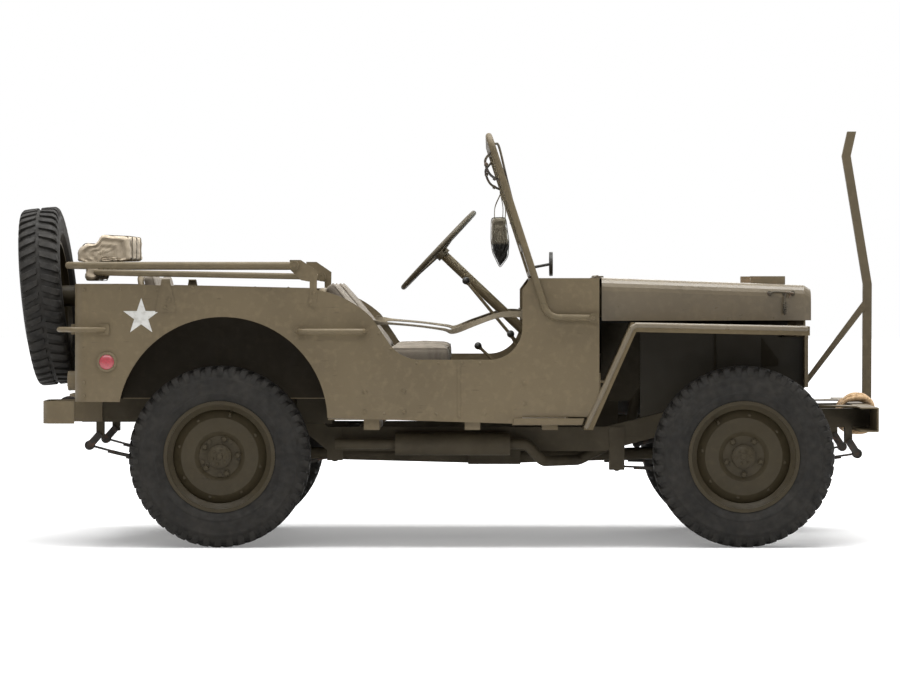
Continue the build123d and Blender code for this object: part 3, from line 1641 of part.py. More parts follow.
with BuildPart() as seat_frames:
    for low_y, high_y, rear_x, front_x, floor_z, pan_z, top_z, lean, length in seats:
        block(rear_x, front_x, low_y, high_y, pan_z, pan_z + seat_pan)
        for leg_x in (rear_x - leg_inset, front_x - leg_inset):
            for leg_y in (low_y + leg_inset, high_y - leg_inset):
                rod((leg_x, leg_y, floor_z + seat_gap), (leg_x, leg_y, pan_z + seat_pan),
                    seat_leg_radius)
        rise = Vector(-sin(radians(lean)), 0, cos(radians(lean))) * length
        foot_z = pan_z + seat_pan / 2
        left_y, right_y = high_y - seat_tube_radius, low_y + seat_tube_radius
        bent_tube([
            (rear_x, left_y, foot_z),
            (rear_x + rise.X, left_y, foot_z + rise.Z),
            (rear_x + rise.X, right_y, foot_z + rise.Z),
            (rear_x, right_y, foot_z),
        ], 5 * seat_tube_radius, seat_tube_radius)
keep("seat_frames", seat_frames)

with BuildPart() as seat_cushions:
    for low_y, high_y, rear_x, front_x, floor_z, pan_z, top_z, lean, length in seats:
        with BuildPart(mode=Mode.ADD) as cushion:
            block(rear_x + cushion_set_in, front_x, low_y, high_y, pan_z + seat_pan + seat_gap,
                  top_z)
            fillet(cushion.edges().filter_by(Axis.Y), cushion_corner)
        foot = Vector(rear_x, (low_y + high_y) / 2, pan_z + seat_pan / 2)
        up = Vector(-sin(radians(lean)), 0, cos(radians(lean)))
        ahead = Vector(cos(radians(lean)), 0, sin(radians(lean)))
        start = foot + up * back_start + ahead * (seat_tube_radius + back_gap)
        with BuildPart(mode=Mode.ADD) as back:
            with BuildSketch(Plane(origin=start, x_dir=(0, 1, 0), z_dir=ahead)) as back_face:
                with Locations((0, (length - back_start) / 2)):
                    Rectangle(high_y - low_y, length - back_start)
            extrude(back_face.sketch, amount=back_depth)
            fillet(back.edges().filter_by(Axis.Y), cushion_corner)
keep("seat_cushions", seat_cushions)


# Controls: the gear lever, two shorter levers and three pedals
lever_radius = 7
knob_radius = 20
boot_radius = 22
boot_height = 18
levers = [
    # foot x, y, tip x, tip z
    (1306, 0, 951, 1034),
    (1236, -48, 1131, 820),
    (1170, -84, 1000, 773),
]
pedal_ys = [290, 510, 590]
pedal_toe_share = 0.4
pedal_length = 95
pedal_half_width = 30
pedal_half_height = 36
pedal_plate = 8

with BuildPart() as controls:
    for foot_x, lever_y, tip_x, tip_z in levers:
        rod((foot_x, lever_y, tunnel_top_z + seat_gap),
            (foot_x, lever_y, tunnel_top_z + boot_height), boot_radius)
        rod((foot_x, lever_y, tunnel_top_z + boot_height / 2), (tip_x, lever_y, tip_z),
            lever_radius)
        rod((tip_x, lever_y, tip_z - knob_radius), (tip_x, lever_y, tip_z + knob_radius),
            knob_radius)
    toe_run = Vector(toe_end_x - toe_x + sheet, 0, toe_end_z - floor_front_z)
    out = Vector(-toe_run.Z, 0, toe_run.X).normalized()
    root = Vector(toe_x - sheet, 0, floor_front_z + sheet) + toe_run * pedal_toe_share
    for pedal_y in pedal_ys:
        start = Vector(root.X, pedal_y, root.Z) + out * seat_gap
        end = start + out * pedal_length
        rod((start.X, pedal_y, start.Z), (end.X, pedal_y, end.Z), lever_radius)
        with BuildSketch(Plane(origin=end, x_dir=(0, 1, 0), z_dir=out)) as pad:
            Rectangle(2 * pedal_half_width, 2 * pedal_half_height)
        extrude(pad.sketch, amount=pedal_plate)
keep("controls", controls)


# Rear lamps and the side reflectors
tail_y = 600
tail_z = 645
tail_radius = 38
tail_depth = 30
reflector_x = -431
reflector_z = 720
reflector_radius = 38.5
reflector_depth = 8

with BuildPart() as rear_lamps:
    for side in (-1, 1):
        rod((rear_face_x - tail_depth, side * tail_y, tail_z),
            (rear_face_x - seat_gap, side * tail_y, tail_z), tail_radius)
        rod((reflector_x, side * (body_half_width + seat_gap), reflector_z),
            (reflector_x, side * (body_half_width + reflector_depth), reflector_z),
            reflector_radius)
keep("rear_lamps", rear_lamps)


# Safety straps across the doorways
strap_outer_y = 712
strap_thickness = 3
strap_half = 20
strap_line = [
    # x, z
    (570, 870),
    (658, 870),
    (866, 851),
    (897, 838),
    (1075, 905),
    (1190, 900),
]
strap_pad = 26

with BuildPart() as safety_strap:
    upper = [(x, z + strap_half) for x, z in strap_line]
    lower = [(x, z - strap_half) for x, z in reversed(strap_line)]
    side_plate(upper + lower, strap_outer_y - strap_thickness, strap_outer_y)
    for pad_x, pad_z in ((strap_line[0][0], strap_line[0][1]),
                         (strap_line[-1][0], strap_line[-1][1])):
        block(pad_x - strap_pad / 2, pad_x + strap_pad / 2, strap_outer_y - strap_thickness,
              floor_half_width, pad_z - strap_pad / 2, pad_z + strap_pad / 2)
    both_sides()
keep("safety_strap", safety_strap)


# Tow rope: wound in turns round the bumper, right of the wire cutter
rope_rear_x = 2395
rope_front_x = 2578
rope_low_z = 424
rope_high_z = 596
rope_right_y = -238
rope_left_y = -85
rope_corner = 20
rope_gap = 0.5

with BuildPart() as rope_coil:
    block(rope_rear_x, rope_front_x, rope_right_y, rope_left_y, rope_low_z, rope_high_z)
    fillet(rope_coil.edges().filter_by(Axis.Y), rope_corner)
    block(bumper_back_x - rope_gap, bumper_face_x + rope_gap,
          rope_right_y - cut_overrun, rope_left_y + cut_overrun,
          bumper_low_z - rope_gap, bumper_high_z + rope_gap, Mode.SUBTRACT)
keep("rope_coil", rope_coil)


# Spare wheel on a carrier at the back, leaning a little to the rear
spare_centre = (-701, -250, 973)
spare_lean = 6
carrier_radius = 42
carrier_plate = 11
carrier_half_width = 120
carrier_low_z = 860
carrier_high_z = 1012
spare_facing = (-cos(radians(spare_lean)), 0, -sin(radians(spare_lean)))

with BuildPart() as spare_tyre:
    tyre(spare_centre, spare_facing)
keep("spare_tyre", spare_tyre)

with BuildPart() as spare_wheel:
    rim(spare_centre, spare_facing)
    reach = rear_face_x - carrier_plate / 2 - spare_centre[0]
    rod((spare_centre[0] - disc_flat_out, spare_centre[1], spare_centre[2]),
        (spare_centre[0] + reach, spare_centre[1], spare_centre[2]), carrier_radius)
    block(rear_face_x - carrier_plate - seat_gap, rear_face_x - seat_gap,
          spare_centre[1] - carrier_half_width, spare_centre[1] + carrier_half_width,
          carrier_low_z, carrier_high_z)
keep("spare_wheel", spare_wheel)


middle_x = (
    max(part.bounding_box().max.X for name, part in pieces)
    + min(part.bounding_box().min.X for name, part in pieces)
) / 2
for name, part in pieces:
    placed = part.moved(Location((-middle_x, 0, 0)))
    placed.label = name
    export_step(placed, "parts/" + name + ".step")
print("middle_x", middle_x)
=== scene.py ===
import math
import bmesh
import bpy
from mathutils import Matrix, Vector, noise


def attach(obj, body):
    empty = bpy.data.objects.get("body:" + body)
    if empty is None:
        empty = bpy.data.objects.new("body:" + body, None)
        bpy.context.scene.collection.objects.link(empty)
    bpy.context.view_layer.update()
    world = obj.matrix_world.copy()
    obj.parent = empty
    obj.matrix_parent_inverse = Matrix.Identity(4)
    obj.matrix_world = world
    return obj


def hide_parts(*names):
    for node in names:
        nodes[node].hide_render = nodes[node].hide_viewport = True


# Open army 4x4 car, dressed for the picture, in metres: X forward, Y to the car's left and
# Z up. Places are written in millimetres, with X counted from the rear axle.
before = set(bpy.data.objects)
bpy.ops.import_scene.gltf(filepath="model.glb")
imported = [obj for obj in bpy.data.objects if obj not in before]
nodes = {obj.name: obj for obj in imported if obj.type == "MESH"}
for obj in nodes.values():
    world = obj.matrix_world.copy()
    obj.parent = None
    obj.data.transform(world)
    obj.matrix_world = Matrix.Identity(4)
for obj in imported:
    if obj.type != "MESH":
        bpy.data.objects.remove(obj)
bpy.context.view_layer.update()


# Camera: it stands side on to the car at hood height, so far away that the two sides nearly
# cover each other. Its shifts set the car low and right of the middle of the frame.
photo_width = 900
camera_place = (1048, -16900, 1025)
origin_x = 887.2105509


def at(x, y, z):
    """A place in the row's frame from millimetres with X counted from the rear axle."""
    return Vector(((x - origin_x) / 1000, y / 1000, z / 1000))


camera = bpy.data.objects.new("camera", bpy.data.cameras.new("camera"))
bpy.context.scene.collection.objects.link(camera)
camera.location = at(*camera_place)
camera.rotation_euler = (math.radians(90), 0, 0)
camera.data.sensor_width = 36
camera.data.lens = 167.6
camera.data.shift_x = -40 / photo_width
camera.data.shift_y = -54.5 / photo_width
camera.data.clip_end = 200
bpy.context.scene.camera = camera
bpy.context.scene.view_settings.view_transform = "Standard"


# Tow rope: three-strand hemp, 18 mm thick, wound seven times round the bumper to the right of
# the wire cutter. The turns lie side by side, tight below and looser behind and above, and
# both ends are tucked under them.
def new_material(name):
    """A fresh material, its node tree and its main shader."""
    material = bpy.data.materials.new(name)
    material.use_nodes = True
    return material, material.node_tree, material.node_tree.nodes["Principled BSDF"]


def spread(tree, value, low, high, low_result=0.0, high_result=1.0):
    """A value clamped between two limits and spread over another span."""
    span = tree.nodes.new("ShaderNodeMapRange")
    for name, limit in (("From Min", low), ("From Max", high), ("To Min", low_result),
                        ("To Max", high_result)):
        span.inputs[name].default_value = limit
    tree.links.new(value, span.inputs["Value"])
    return span.outputs["Result"]


def grain(tree, scale, detail, low, high, stretch=(1, 1, 1), seed=0.0):
    """Noise over the object's own coordinates, spread from low to high."""
    places = tree.nodes.new("ShaderNodeTexCoord")
    mapping = tree.nodes.new("ShaderNodeMapping")
    mapping.inputs["Scale"].default_value = stretch
    mapping.inputs["Location"].default_value = (seed, seed * 2, seed * 3)
    texture = tree.nodes.new("ShaderNodeTexNoise")
    texture.inputs["Scale"].default_value = scale
    texture.inputs["Detail"].default_value = detail
    tree.links.new(places.outputs["Object"], mapping.inputs["Vector"])
    tree.links.new(mapping.outputs["Vector"], texture.inputs["Vector"])
    return spread(tree, texture.outputs["Fac"], low, high)


def blend_colors(tree, factor, first, second):
    """A colour between two, each a colour or another node's output."""
    mix = tree.nodes.new("ShaderNodeMix")
    mix.data_type = "RGBA"
    tree.links.new(factor, mix.inputs["Factor"])
    for socket, value in ((mix.inputs[6], first), (mix.inputs[7], second)):
        if isinstance(value, tuple):
            socket.default_value = (*value, 1)
        else:
            tree.links.new(value, socket)
    return mix.outputs[2]


def bump(tree, bsdf, height, distance, strength):
    """Small unevenness of a surface."""
    node = tree.nodes.new("ShaderNodeBump")
    node.inputs["Distance"].default_value = distance
    node.inputs["Strength"].default_value = strength
    tree.links.new(height, node.inputs["Height"])
    tree.links.new(node.outputs["Normal"], bsdf.inputs["Normal"])


def paint_nodes(material, *names):
    """Give CAD pieces one material."""
    for name in names:
        nodes[name].data.materials.clear()
        nodes[name].data.materials.append(material)


def rope_material():
    """Hemp rope: twisted fibres in pale straw colours."""
    material, tree, bsdf = new_material("hemp_rope")
    fibres = grain(tree, 90, 8, 0.3, 0.7, stretch=(1, 0.3, 1))
    straw = blend_colors(tree, fibres, (0.33, 0.20, 0.095), (0.66, 0.46, 0.26))
    tree.links.new(straw, bsdf.inputs["Base Color"])
    bsdf.inputs["Roughness"].default_value = 0.95
    bsdf.inputs["Sheen Weight"].default_value = 0.3
    bump(tree, bsdf, fibres, 0.002, 0.8)
    return material


hemp_rope = rope_material()
paint_nodes(hemp_rope, "rope_coil")
rope_turns = 7
rope_points_per_turn = 16
rope_radius = 9
rope_middle = (2511.5, 498)
rope_half = (61.5, 66.5)
rope_roundness = 3.1
rope_right_y = -229
rope_pitch = 19.6
rope_start_turn = 200
rope_slack = 0.22
rope_line = []
for count in range(rope_turns * rope_points_per_turn + 3):
    turn = 2 * math.pi * count / rope_points_per_turn + math.radians(rope_start_turn)
    share = count / rope_points_per_turn
    across, high = math.cos(turn), math.sin(turn)
    reach = (abs(across) ** rope_roundness + abs(high) ** rope_roundness) ** (-1 / rope_roundness)
    slack = 1 + rope_slack * (0.5 + 0.5 * math.sin(2.7 * math.floor(share + 0.2)))
    x = across * reach * rope_half[0] * (slack if across < 0 else 1)
    z = high * reach * rope_half[1] * (1 + 0.6 * (slack - 1) if high > 0 else 1)
    loose = max(0, high) ** 2
    x += 9 * math.sin(2.4 * share) * loose
    z += 8 * math.sin(3.3 * share + 1) * loose
    rope_line.append(at(rope_middle[0] + x, rope_right_y + rope_pitch * share,
                        rope_middle[1] + z))
rope_curve = bpy.data.curves.new("tow_rope", "CURVE")
rope_curve.dimensions = "3D"
rope_curve.resolution_u = 6
rope_curve.bevel_depth = rope_radius / 1000
rope_curve.bevel_resolution = 3
rope_curve.use_fill_caps = True
rope_spline = rope_curve.splines.new("NURBS")
rope_spline.points.add(len(rope_line) - 1)
for spot, place in zip(rope_spline.points, rope_line):
    spot.co = (*place, 1)
rope_spline.order_u = 3
rope_spline.use_endpoint_u = True
rope = bpy.data.objects.new("tow_rope", rope_curve)
bpy.context.scene.collection.objects.link(rope)
rope_curve.materials.append(hemp_rope)
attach(rope, "chassis")
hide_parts("rope_coil")


# Lamps: a wide softbox above lights the hood and the tops of the fenders, a weaker one over
# the camera opens the side, and one behind rims the far edges.
def area_lamp(name, place, target, size, power):
    """A softbox at a place, turned to a target."""
    lamp = bpy.data.lights.new(name, "AREA")
    lamp.shape = "RECTANGLE"
    lamp.size, lamp.size_y = size
    lamp.energy = power
    obj = bpy.data.objects.new(name, lamp)
    obj.location = place
    obj.rotation_euler = (Vector(target) - Vector(place)).to_track_quat("-Z", "Y").to_euler()
    bpy.context.scene.collection.objects.link(obj)


area_lamp("top_softbox", (0, -0.5, 5.0), (0, 0, 0), (8, 3.4), 600)
area_lamp("front_softbox", (-1.0, -7.5, 4.6), (0, 0, 0.7), (7, 2.5), 160)
area_lamp("rim_softbox", (2.0, 6.5, 4.5), (0, 0, 0.6), (6, 3), 130)


# Backdrop and floor: rays from the camera, from gloss and through glass see plain white. All
# other rays see a dim sky, so the white adds no light, and the floor keeps the car's shadow.
def arithmetic(tree, operation, *values):
    """The output of one Math node on numbers or on other nodes' outputs."""
    node = tree.nodes.new("ShaderNodeMath")
    node.operation = operation
    for socket, value in zip(node.inputs, values):
        if isinstance(value, (int, float)):
            socket.default_value = value
        else:
            tree.links.new(value, socket)
    return node.outputs[0]


def link_rays(tree, low, high):
    """A value that is high where the ray comes from the camera, gloss or glass, else low."""
    path = tree.nodes.new("ShaderNodeLightPath")
    seen = path.outputs["Is Camera Ray"]
    for kind in ("Is Glossy Ray", "Is Transmission Ray"):
        seen = arithmetic(tree, "MAXIMUM", seen, path.outputs[kind])
    return spread(tree, seen, 0.0, 1.0, low, high)


dim_sky = 0.33
world = bpy.data.worlds.new("studio")
bpy.context.scene.world = world
world.use_nodes = True
sky = world.node_tree.nodes["Background"]
sky.inputs["Color"].default_value = (1, 1, 1, 1)
world.node_tree.links.new(link_rays(world.node_tree, dim_sky, 1.0), sky.inputs["Strength"])
floor_glow_reach = (1.6, 3.6)
floor_near_glow = 0.22
floor_corners = [(-30, -12, 0), (30, -12, 0), (30, 60, 0), (-30, 60, 0)]
floor_mesh = bpy.data.meshes.new("floor")
floor_mesh.from_pydata(floor_corners, [], [(0, 1, 2, 3)])
floor = bpy.data.objects.new("floor", floor_mesh)
bpy.context.scene.collection.objects.link(floor)
floor_paint, floor_tree, floor_bsdf = new_material("studio_floor")
floor_bsdf.inputs["Base Color"].default_value = (0.8, 0.8, 0.8, 1)
floor_bsdf.inputs["Roughness"].default_value = 0.9
floor_bsdf.inputs["Specular IOR Level"].default_value = 0.0
floor_bsdf.inputs["Emission Color"].default_value = (1, 1, 1, 1)
floor_places = floor_tree.nodes.new("ShaderNodeTexCoord")
floor_far = floor_tree.nodes.new("ShaderNodeVectorMath")
floor_far.operation = "LENGTH"
floor_tree.links.new(floor_places.outputs["Object"], floor_far.inputs[0])
floor_glow = spread(floor_tree, floor_far.outputs["Value"], *floor_glow_reach, floor_near_glow,
                    1.0)
floor_seen = arithmetic(floor_tree, "MULTIPLY", floor_glow, link_rays(floor_tree, 0.0, 1.0))
floor_tree.links.new(floor_seen, floor_bsdf.inputs["Emission Strength"])
floor_mesh.materials.append(floor_paint)


# Tub: side panels, floor, cowl, grille and their fittings are pressed and welded steel sheet,
# sprayed matt olive. The paint is a little uneven, scuffed, and dusty low down.
def times(tree, factor, share):
    """A factor cut down by a share or by another factor."""
    return arithmetic(tree, "MULTIPLY", factor, share)


def place_along(tree, axis):
    """The place along one axis, in the object's own coordinates."""
    places = tree.nodes.new("ShaderNodeTexCoord")
    parts = tree.nodes.new("ShaderNodeSeparateXYZ")
    tree.links.new(places.outputs["Object"], parts.inputs["Vector"])
    return parts.outputs[axis]


def height_share(tree, low, high):
    """1 at a low height above the ground, 0 at a high one."""
    return spread(tree, place_along(tree, "Z"), high, low)


def inside_share(tree, near, far):
    """1 close to the car's middle plane, 0 far out to either side."""
    reach = arithmetic(tree, "ABSOLUTE", place_along(tree, "Y"))
    return spread(tree, reach, far, near)


def rough_between(tree, bsdf, factor, low, high):
    """Roughness that runs from low to high with a factor."""
    tree.links.new(spread(tree, factor, 0.0, 1.0, low, high), bsdf.inputs["Roughness"])


def shade_of(color, share):
    """A colour made darker or paler."""
    return tuple(min(1, part * share) for part in color)


def army_paint(name, color, dust=0.35, rough=(0.42, 0.62), grime_and_shade=None, dents=0.2, clean=None,
               shine=0.28):
    """Flat army paint, brushed a little uneven, scuffed, and dusty low down. Given a reach of
    grime and shade, the parts near the car's middle plane are darkened, partly with road dirt
    and partly with painted shade inside the wheel arches. Clean gives the height and the
    distance from the middle plane of faces inside the load space, which are olive."""
    material, tree, bsdf = new_material(name)
    cloudy = blend_colors(tree, grain(tree, 3.2, 4, 0.35, 0.7), shade_of(color, 0.80), color)
    mottled = blend_colors(tree, times(tree, grain(tree, 38, 6, 0.5, 0.75, seed=4.0), 0.55),
                           cloudy, shade_of(color, 1.22))
    scuffs = times(tree, grain(tree, 60, 8, 0.66, 0.74, stretch=(0.25, 1, 1.6), seed=9.0), 0.5)
    scuffed = blend_colors(tree, scuffs, mottled, shade_of(color, 0.5))
    low = times(tree, height_share(tree, 0.3, 0.75), grain(tree, 7, 6, 0.3, 0.8, seed=2.0))
    surface_tone = blend_colors(tree, times(tree, low, dust), scuffed, (0.15, 0.122, 0.082))
    if clean:
        top, inner = clean
        surface_tone = blend_colors(tree, height_share(tree, top - 0.001, top + 0.001), olive, surface_tone)
        surface_tone = blend_colors(tree, inside_share(tree, inner - 0.0005, inner + 0.0005), surface_tone,
                             olive)
    # Painted shade and road dirt: near the middle plane, inside the fenders, the paint is darkened.
    if grime_and_shade:
        surface_tone = blend_colors(tree, inside_share(tree, *grime_and_shade), surface_tone, (0.022, 0.018, 0.011))
    tree.links.new(surface_tone, bsdf.inputs["Base Color"])
    rough_between(tree, bsdf, grain(tree, 22, 6, 0.3, 0.75, seed=6.0), *rough)
    bsdf.inputs["Specular IOR Level"].default_value = shine
    if dents:
        bump(tree, bsdf, grain(tree, 110, 3, 0.3, 0.7), 0.0005, dents)
    return material


olive = (0.131, 0.100, 0.056)
olive_paint = army_paint("olive_paint", olive)
paint_nodes(olive_paint, "side_panel_right", "side_panel_left", "rear_panel", "floor_pan", "cowl",
            "grille", "headlamps", "instrument_panel", "body_brackets", "body_grips", "rear_lamps",
            "seat_frames", "steering_column", "fuel_tank", "front_bumper", "rear_bumperettes")


# Hood and fenders: the hood's sheet is rubbed smooth and shines most. The fenders are the
# same sheet, and the aprons on their inner side are dark partly with road dirt and partly
# with painted shade.
hood_paint = army_paint("hood_paint", (0.128, 0.100, 0.060), dust=0.1, rough=(0.27, 0.42),
                        shine=0.5)
# The fenders' aprons near the middle plane are darkened with road dirt and painted shade.
fender_paint = army_paint("fender_paint", olive, rough=(0.36, 0.52), grime_and_shade=(0.374, 0.42),
                          shine=0.15)
paint_nodes(hood_paint, "hood")
paint_nodes(fender_paint, "front_fenders")


# Hood blocks: painted hardwood screwed on the hood, on which the folded windshield rests.
# The paint is worn through to the grain.
def wood_material():
    """Painted hardwood, worn through to the grain."""
    material, tree, bsdf = new_material("worn_wood")
    streaks = grain(tree, 14, 8, 0.3, 0.7, stretch=(1, 9, 9))
    bare = blend_colors(tree, streaks, (0.16, 0.095, 0.05), (0.31, 0.2, 0.11))
    worn = times(tree, grain(tree, 16, 6, 0.5, 0.7, seed=2.0), 0.6)
    painted = blend_colors(tree, worn, olive, bare)
    tree.links.new(painted, bsdf.inputs["Base Color"])
    bsdf.inputs["Roughness"].default_value = 0.7
    bump(tree, bsdf, streaks, 0.0012, 0.5)
    return material


worn_wood = wood_material()
paint_nodes(worn_wood, "hood_blocks")


# Wheel housings: sheet steel boxes over the rear wheels. On the wheel's side they are dark,
# partly with dirt and partly with painted shade, and olive on the faces in the load space.
housing_dirt_and_shade = army_paint("housing_dirt_and_shade", (0.024, 0.019, 0.012), dust=0.1, rough=(0.6, 0.8),
                           clean=(0.900, 0.502), shine=0.12)
paint_nodes(housing_dirt_and_shade, "wheel_housings")


# Windshield and bows: bent steel tube, welded and painted. The glass is one laminated
# sheet, faintly green and smeared, in a plain frame.
frame_paint = army_paint("frame_paint", (0.122, 0.094, 0.052), rough=(0.5, 0.66), dents=0)


def glass_material():
    """Laminated sheet glass, faintly green and smeared."""
    material, tree, bsdf = new_material("windshield_glass")
    bsdf.inputs["Base Color"].default_value = (0.86, 0.93, 0.90, 1)
    bsdf.inputs["Transmission Weight"].default_value = 1.0
    bsdf.inputs["IOR"].default_value = 1.45
    rough_between(tree, bsdf, grain(tree, 8, 8, 0.45, 0.8), 0.0, 0.03)
    return material


clear_glass = glass_material()
paint_nodes(frame_paint, "windshield_frame", "top_bow_front", "top_bow_rear")
paint_nodes(clear_glass, "windshield_glass")


# Wire cutter: an upright of rolled angle iron with a bent tip, bolted to the bumper and
# stayed. Its paint is darker than the body's.
post_paint = army_paint("post_paint", (0.092, 0.071, 0.040), dust=0.1, rough=(0.5, 0.66))
paint_nodes(post_paint, "wire_cutter")


# Steering wheel and dark fittings: the wheel's rim is painted steel, worn by hands. The
# radiator and the mirror's head are black, and so are the CAD's plain levers.
wheel_rim_paint = army_paint("wheel_rim_paint", (0.075, 0.06, 0.036), dust=0.1, dents=0)
dark_paint = army_paint("dark_paint", (0.03, 0.028, 0.024), dust=0.3, rough=(0.35, 0.6))
paint_nodes(wheel_rim_paint, "steering_wheel")
paint_nodes(dark_paint, "radiator", "controls", "mirror")


# Running gear: rolled and cast steel under old paint and road dirt. The steering rods, the
# engine and the tow hook are bare iron with rust and grease, the springs are spring steel.
under_paint = army_paint("under_paint", (0.052, 0.042, 0.026), dust=0.3, rough=(0.6, 0.8),
                         shine=0.2)


def cast_metal(name, color, metal, rough):
    """Cast or forged metal with rust and grease in patches."""
    material, tree, bsdf = new_material(name)
    greasy = blend_colors(tree, grain(tree, 12, 6, 0.35, 0.65), color, (0.02, 0.018, 0.015))
    rusty = blend_colors(tree, times(tree, grain(tree, 45, 8, 0.52, 0.7, seed=3.0), 0.6), greasy,
                         (0.11, 0.05, 0.025))
    tree.links.new(rusty, bsdf.inputs["Base Color"])
    bsdf.inputs["Metallic"].default_value = metal
    rough_between(tree, bsdf, grain(tree, 30, 5, 0.3, 0.7, seed=5.0), rough, min(1, rough + 0.25))
    bump(tree, bsdf, grain(tree, 90, 4, 0.3, 0.7), 0.0006, 0.25)
    return material


iron = cast_metal("iron", (0.045, 0.04, 0.034), 0.4, 0.55)
spring_steel = cast_metal("spring_steel", (0.05, 0.045, 0.038), 0.6, 0.5)
paint_nodes(under_paint, "chassis_frame", "front_axle", "rear_axle", "knuckle_right",
            "knuckle_left", "drive_train", "exhaust")
paint_nodes(iron, "tie_rod", "bell_crank", "drag_link", "pitman_arm", "engine", "pintle_hook")
paint_nodes(spring_steel, "leaf_springs")


# Tyres: moulded rubber with a military tread. Raised ribs run round the walls, and 46 bars
# a side stand on crown and shoulders. Each sits on its wheel's rim.
def rubber(name, color, dust):
    """Tyre rubber, dusty, finely pitted."""
    material, tree, bsdf = new_material(name)
    worn = blend_colors(tree, grain(tree, 9, 6, 0.35, 0.7), color, shade_of(color, 1.9))
    surface_tone = blend_colors(tree, times(tree, grain(tree, 34, 8, 0.42, 0.8, seed=7.0), dust), worn,
                         (0.12, 0.105, 0.08))
    tree.links.new(surface_tone, bsdf.inputs["Base Color"])
    bsdf.inputs["Specular IOR Level"].default_value = 0.25
    rough_between(tree, bsdf, grain(tree, 40, 5, 0.3, 0.7), 0.62, 0.85)
    bump(tree, bsdf, grain(tree, 120, 4, 0.25, 0.75), 0.0008, 0.3)
    return material


tyre_rubber = rubber("tyre_rubber", (0.0085, 0.0076, 0.0064), 0.08)
paint_nodes(tyre_rubber, "tyre_front_right", "tyre_front_left", "tyre_rear_right",
            "tyre_rear_left", "spare_tyre")
wheelbase = 2032
axle_z = 352
wheel_y = 622.5
carcass = [
    # radius, distance from the tyre's middle
    (206, 56), (213, 57.5), (219, 60), (226, 66), (240, 73.5), (243, 76), (249, 77),
    (252, 75.8), (264, 78), (280, 79), (296, 78.5), (299, 80), (303, 79.8), (306, 77.5),
    (318, 75), (328, 71), (336, 64), (341, 54), (343, 40), (344, 20), (344, 0),
]
lug_path = [
    # radius of the foot, radius of the top, distance from the middle, half width, turn in degrees
    (313, 321, 77.2, 8.5, 0),
    (322, 331, 75.6, 10.5, 0),
    (330, 343, 71.5, 12, 0),
    (338, 350.5, 62, 12.5, 0.4),
    (342, 351.7, 46, 12.5, 1.5),
    (343, 352, 26, 12, 2.6),
    (343, 352, 7, 11, 3.8),
]
lug_count = 46


def mm(value):
    """Metres from millimetres."""
    return value / 1000


def mesh_from(bm, name):
    """A mesh from a working mesh, which is freed."""
    mesh = bpy.data.meshes.new(name)
    bm.to_mesh(mesh)
    bm.free()
    return mesh


def bridge(bm, rings):
    """Faces between closed rings of points, all of one length."""
    around = len(rings[0])
    for first, second in zip(rings, rings[1:]):
        for k in range(around):
            bm.faces.new((first[k], first[(k + 1) % around], second[(k + 1) % around], second[k]))


def joined(name, meshes):
    """One mesh from several."""
    bm = bmesh.new()
    for mesh in meshes:
        bm.from_mesh(mesh)
    return mesh_from(bm, name)


def lathe(profile, steps, name):
    """A mesh turned about the Y axis from points of (radius, y), in millimetres."""
    bm = bmesh.new()
    rings = []
    for count in range(steps):
        angle = 2 * math.pi * count / steps
        rings.append([bm.verts.new((mm(r) * math.sin(angle), mm(y), mm(r) * math.cos(angle)))
                      for r, y in profile])
    for count in range(steps):
        ahead = rings[(count + 1) % steps]
        here = rings[count]
        for low in range(len(profile) - 1):
            bm.faces.new((here[low], here[low + 1], ahead[low + 1], ahead[low]))
    bmesh.ops.remove_doubles(bm, verts=bm.verts, dist=1e-6)
    bmesh.ops.recalc_face_normals(bm, faces=bm.faces)
    return mesh_from(bm, name)


def ring_nodes():
    """A node group that repeats a mesh round the Y axis."""
    group = bpy.data.node_groups.new("ring_of_copies", "GeometryNodeTree")
    group.interface.new_socket("Geometry", in_out="INPUT", socket_type="NodeSocketGeometry")
    count = group.interface.new_socket("Count", in_out="INPUT", socket_type="NodeSocketInt")
    finish = group.interface.new_socket("Material", in_out="INPUT",
                                        socket_type="NodeSocketMaterial")
    group.interface.new_socket("Geometry", in_out="OUTPUT", socket_type="NodeSocketGeometry")
    source = group.nodes.new("NodeGroupInput")
    result = group.nodes.new("NodeGroupOutput")
    line = group.nodes.new("GeometryNodeMeshLine")
    line.inputs["Offset"].default_value = (0, 0, 0)
    index = group.nodes.new("GeometryNodeInputIndex")
    part = arithmetic(group, "DIVIDE", index.outputs[0], source.outputs["Count"])
    angles = group.nodes.new("ShaderNodeCombineXYZ")
    copies = group.nodes.new("GeometryNodeInstanceOnPoints")
    real = group.nodes.new("GeometryNodeRealizeInstances")
    paint = group.nodes.new("GeometryNodeSetMaterial")
    link = group.links.new
    link(source.outputs["Count"], line.inputs["Count"])
    link(arithmetic(group, "MULTIPLY", part, 2 * math.pi), angles.inputs["Y"])
    link(line.outputs["Mesh"], copies.inputs["Points"])
    link(source.outputs["Geometry"], copies.inputs["Instance"])
    link(angles.outputs["Vector"], copies.inputs["Rotation"])
    link(copies.outputs["Instances"], real.inputs["Geometry"])
    link(real.outputs["Geometry"], paint.inputs["Geometry"])
    link(source.outputs["Material"], paint.inputs["Material"])
    link(paint.outputs["Geometry"], result.inputs["Geometry"])
    return group, count.identifier, finish.identifier


ring_group, ring_count, ring_material = ring_nodes()


def ring_of(mesh, count, material):
    """A mesh of count copies of a small mesh round the Y axis."""
    seed = bpy.data.objects.new("seed", mesh)
    bpy.context.scene.collection.objects.link(seed)
    modifier = seed.modifiers.new("ring", "NODES")
    modifier.node_group = ring_group
    modifier[ring_count] = count
    modifier[ring_material] = material
    bpy.context.view_layer.update()
    graph = bpy.context.evaluated_depsgraph_get()
    baked = bpy.data.meshes.new_from_object(seed.evaluated_get(graph))
    seed.modifiers.remove(modifier)
    bpy.data.objects.remove(seed)
    return baked


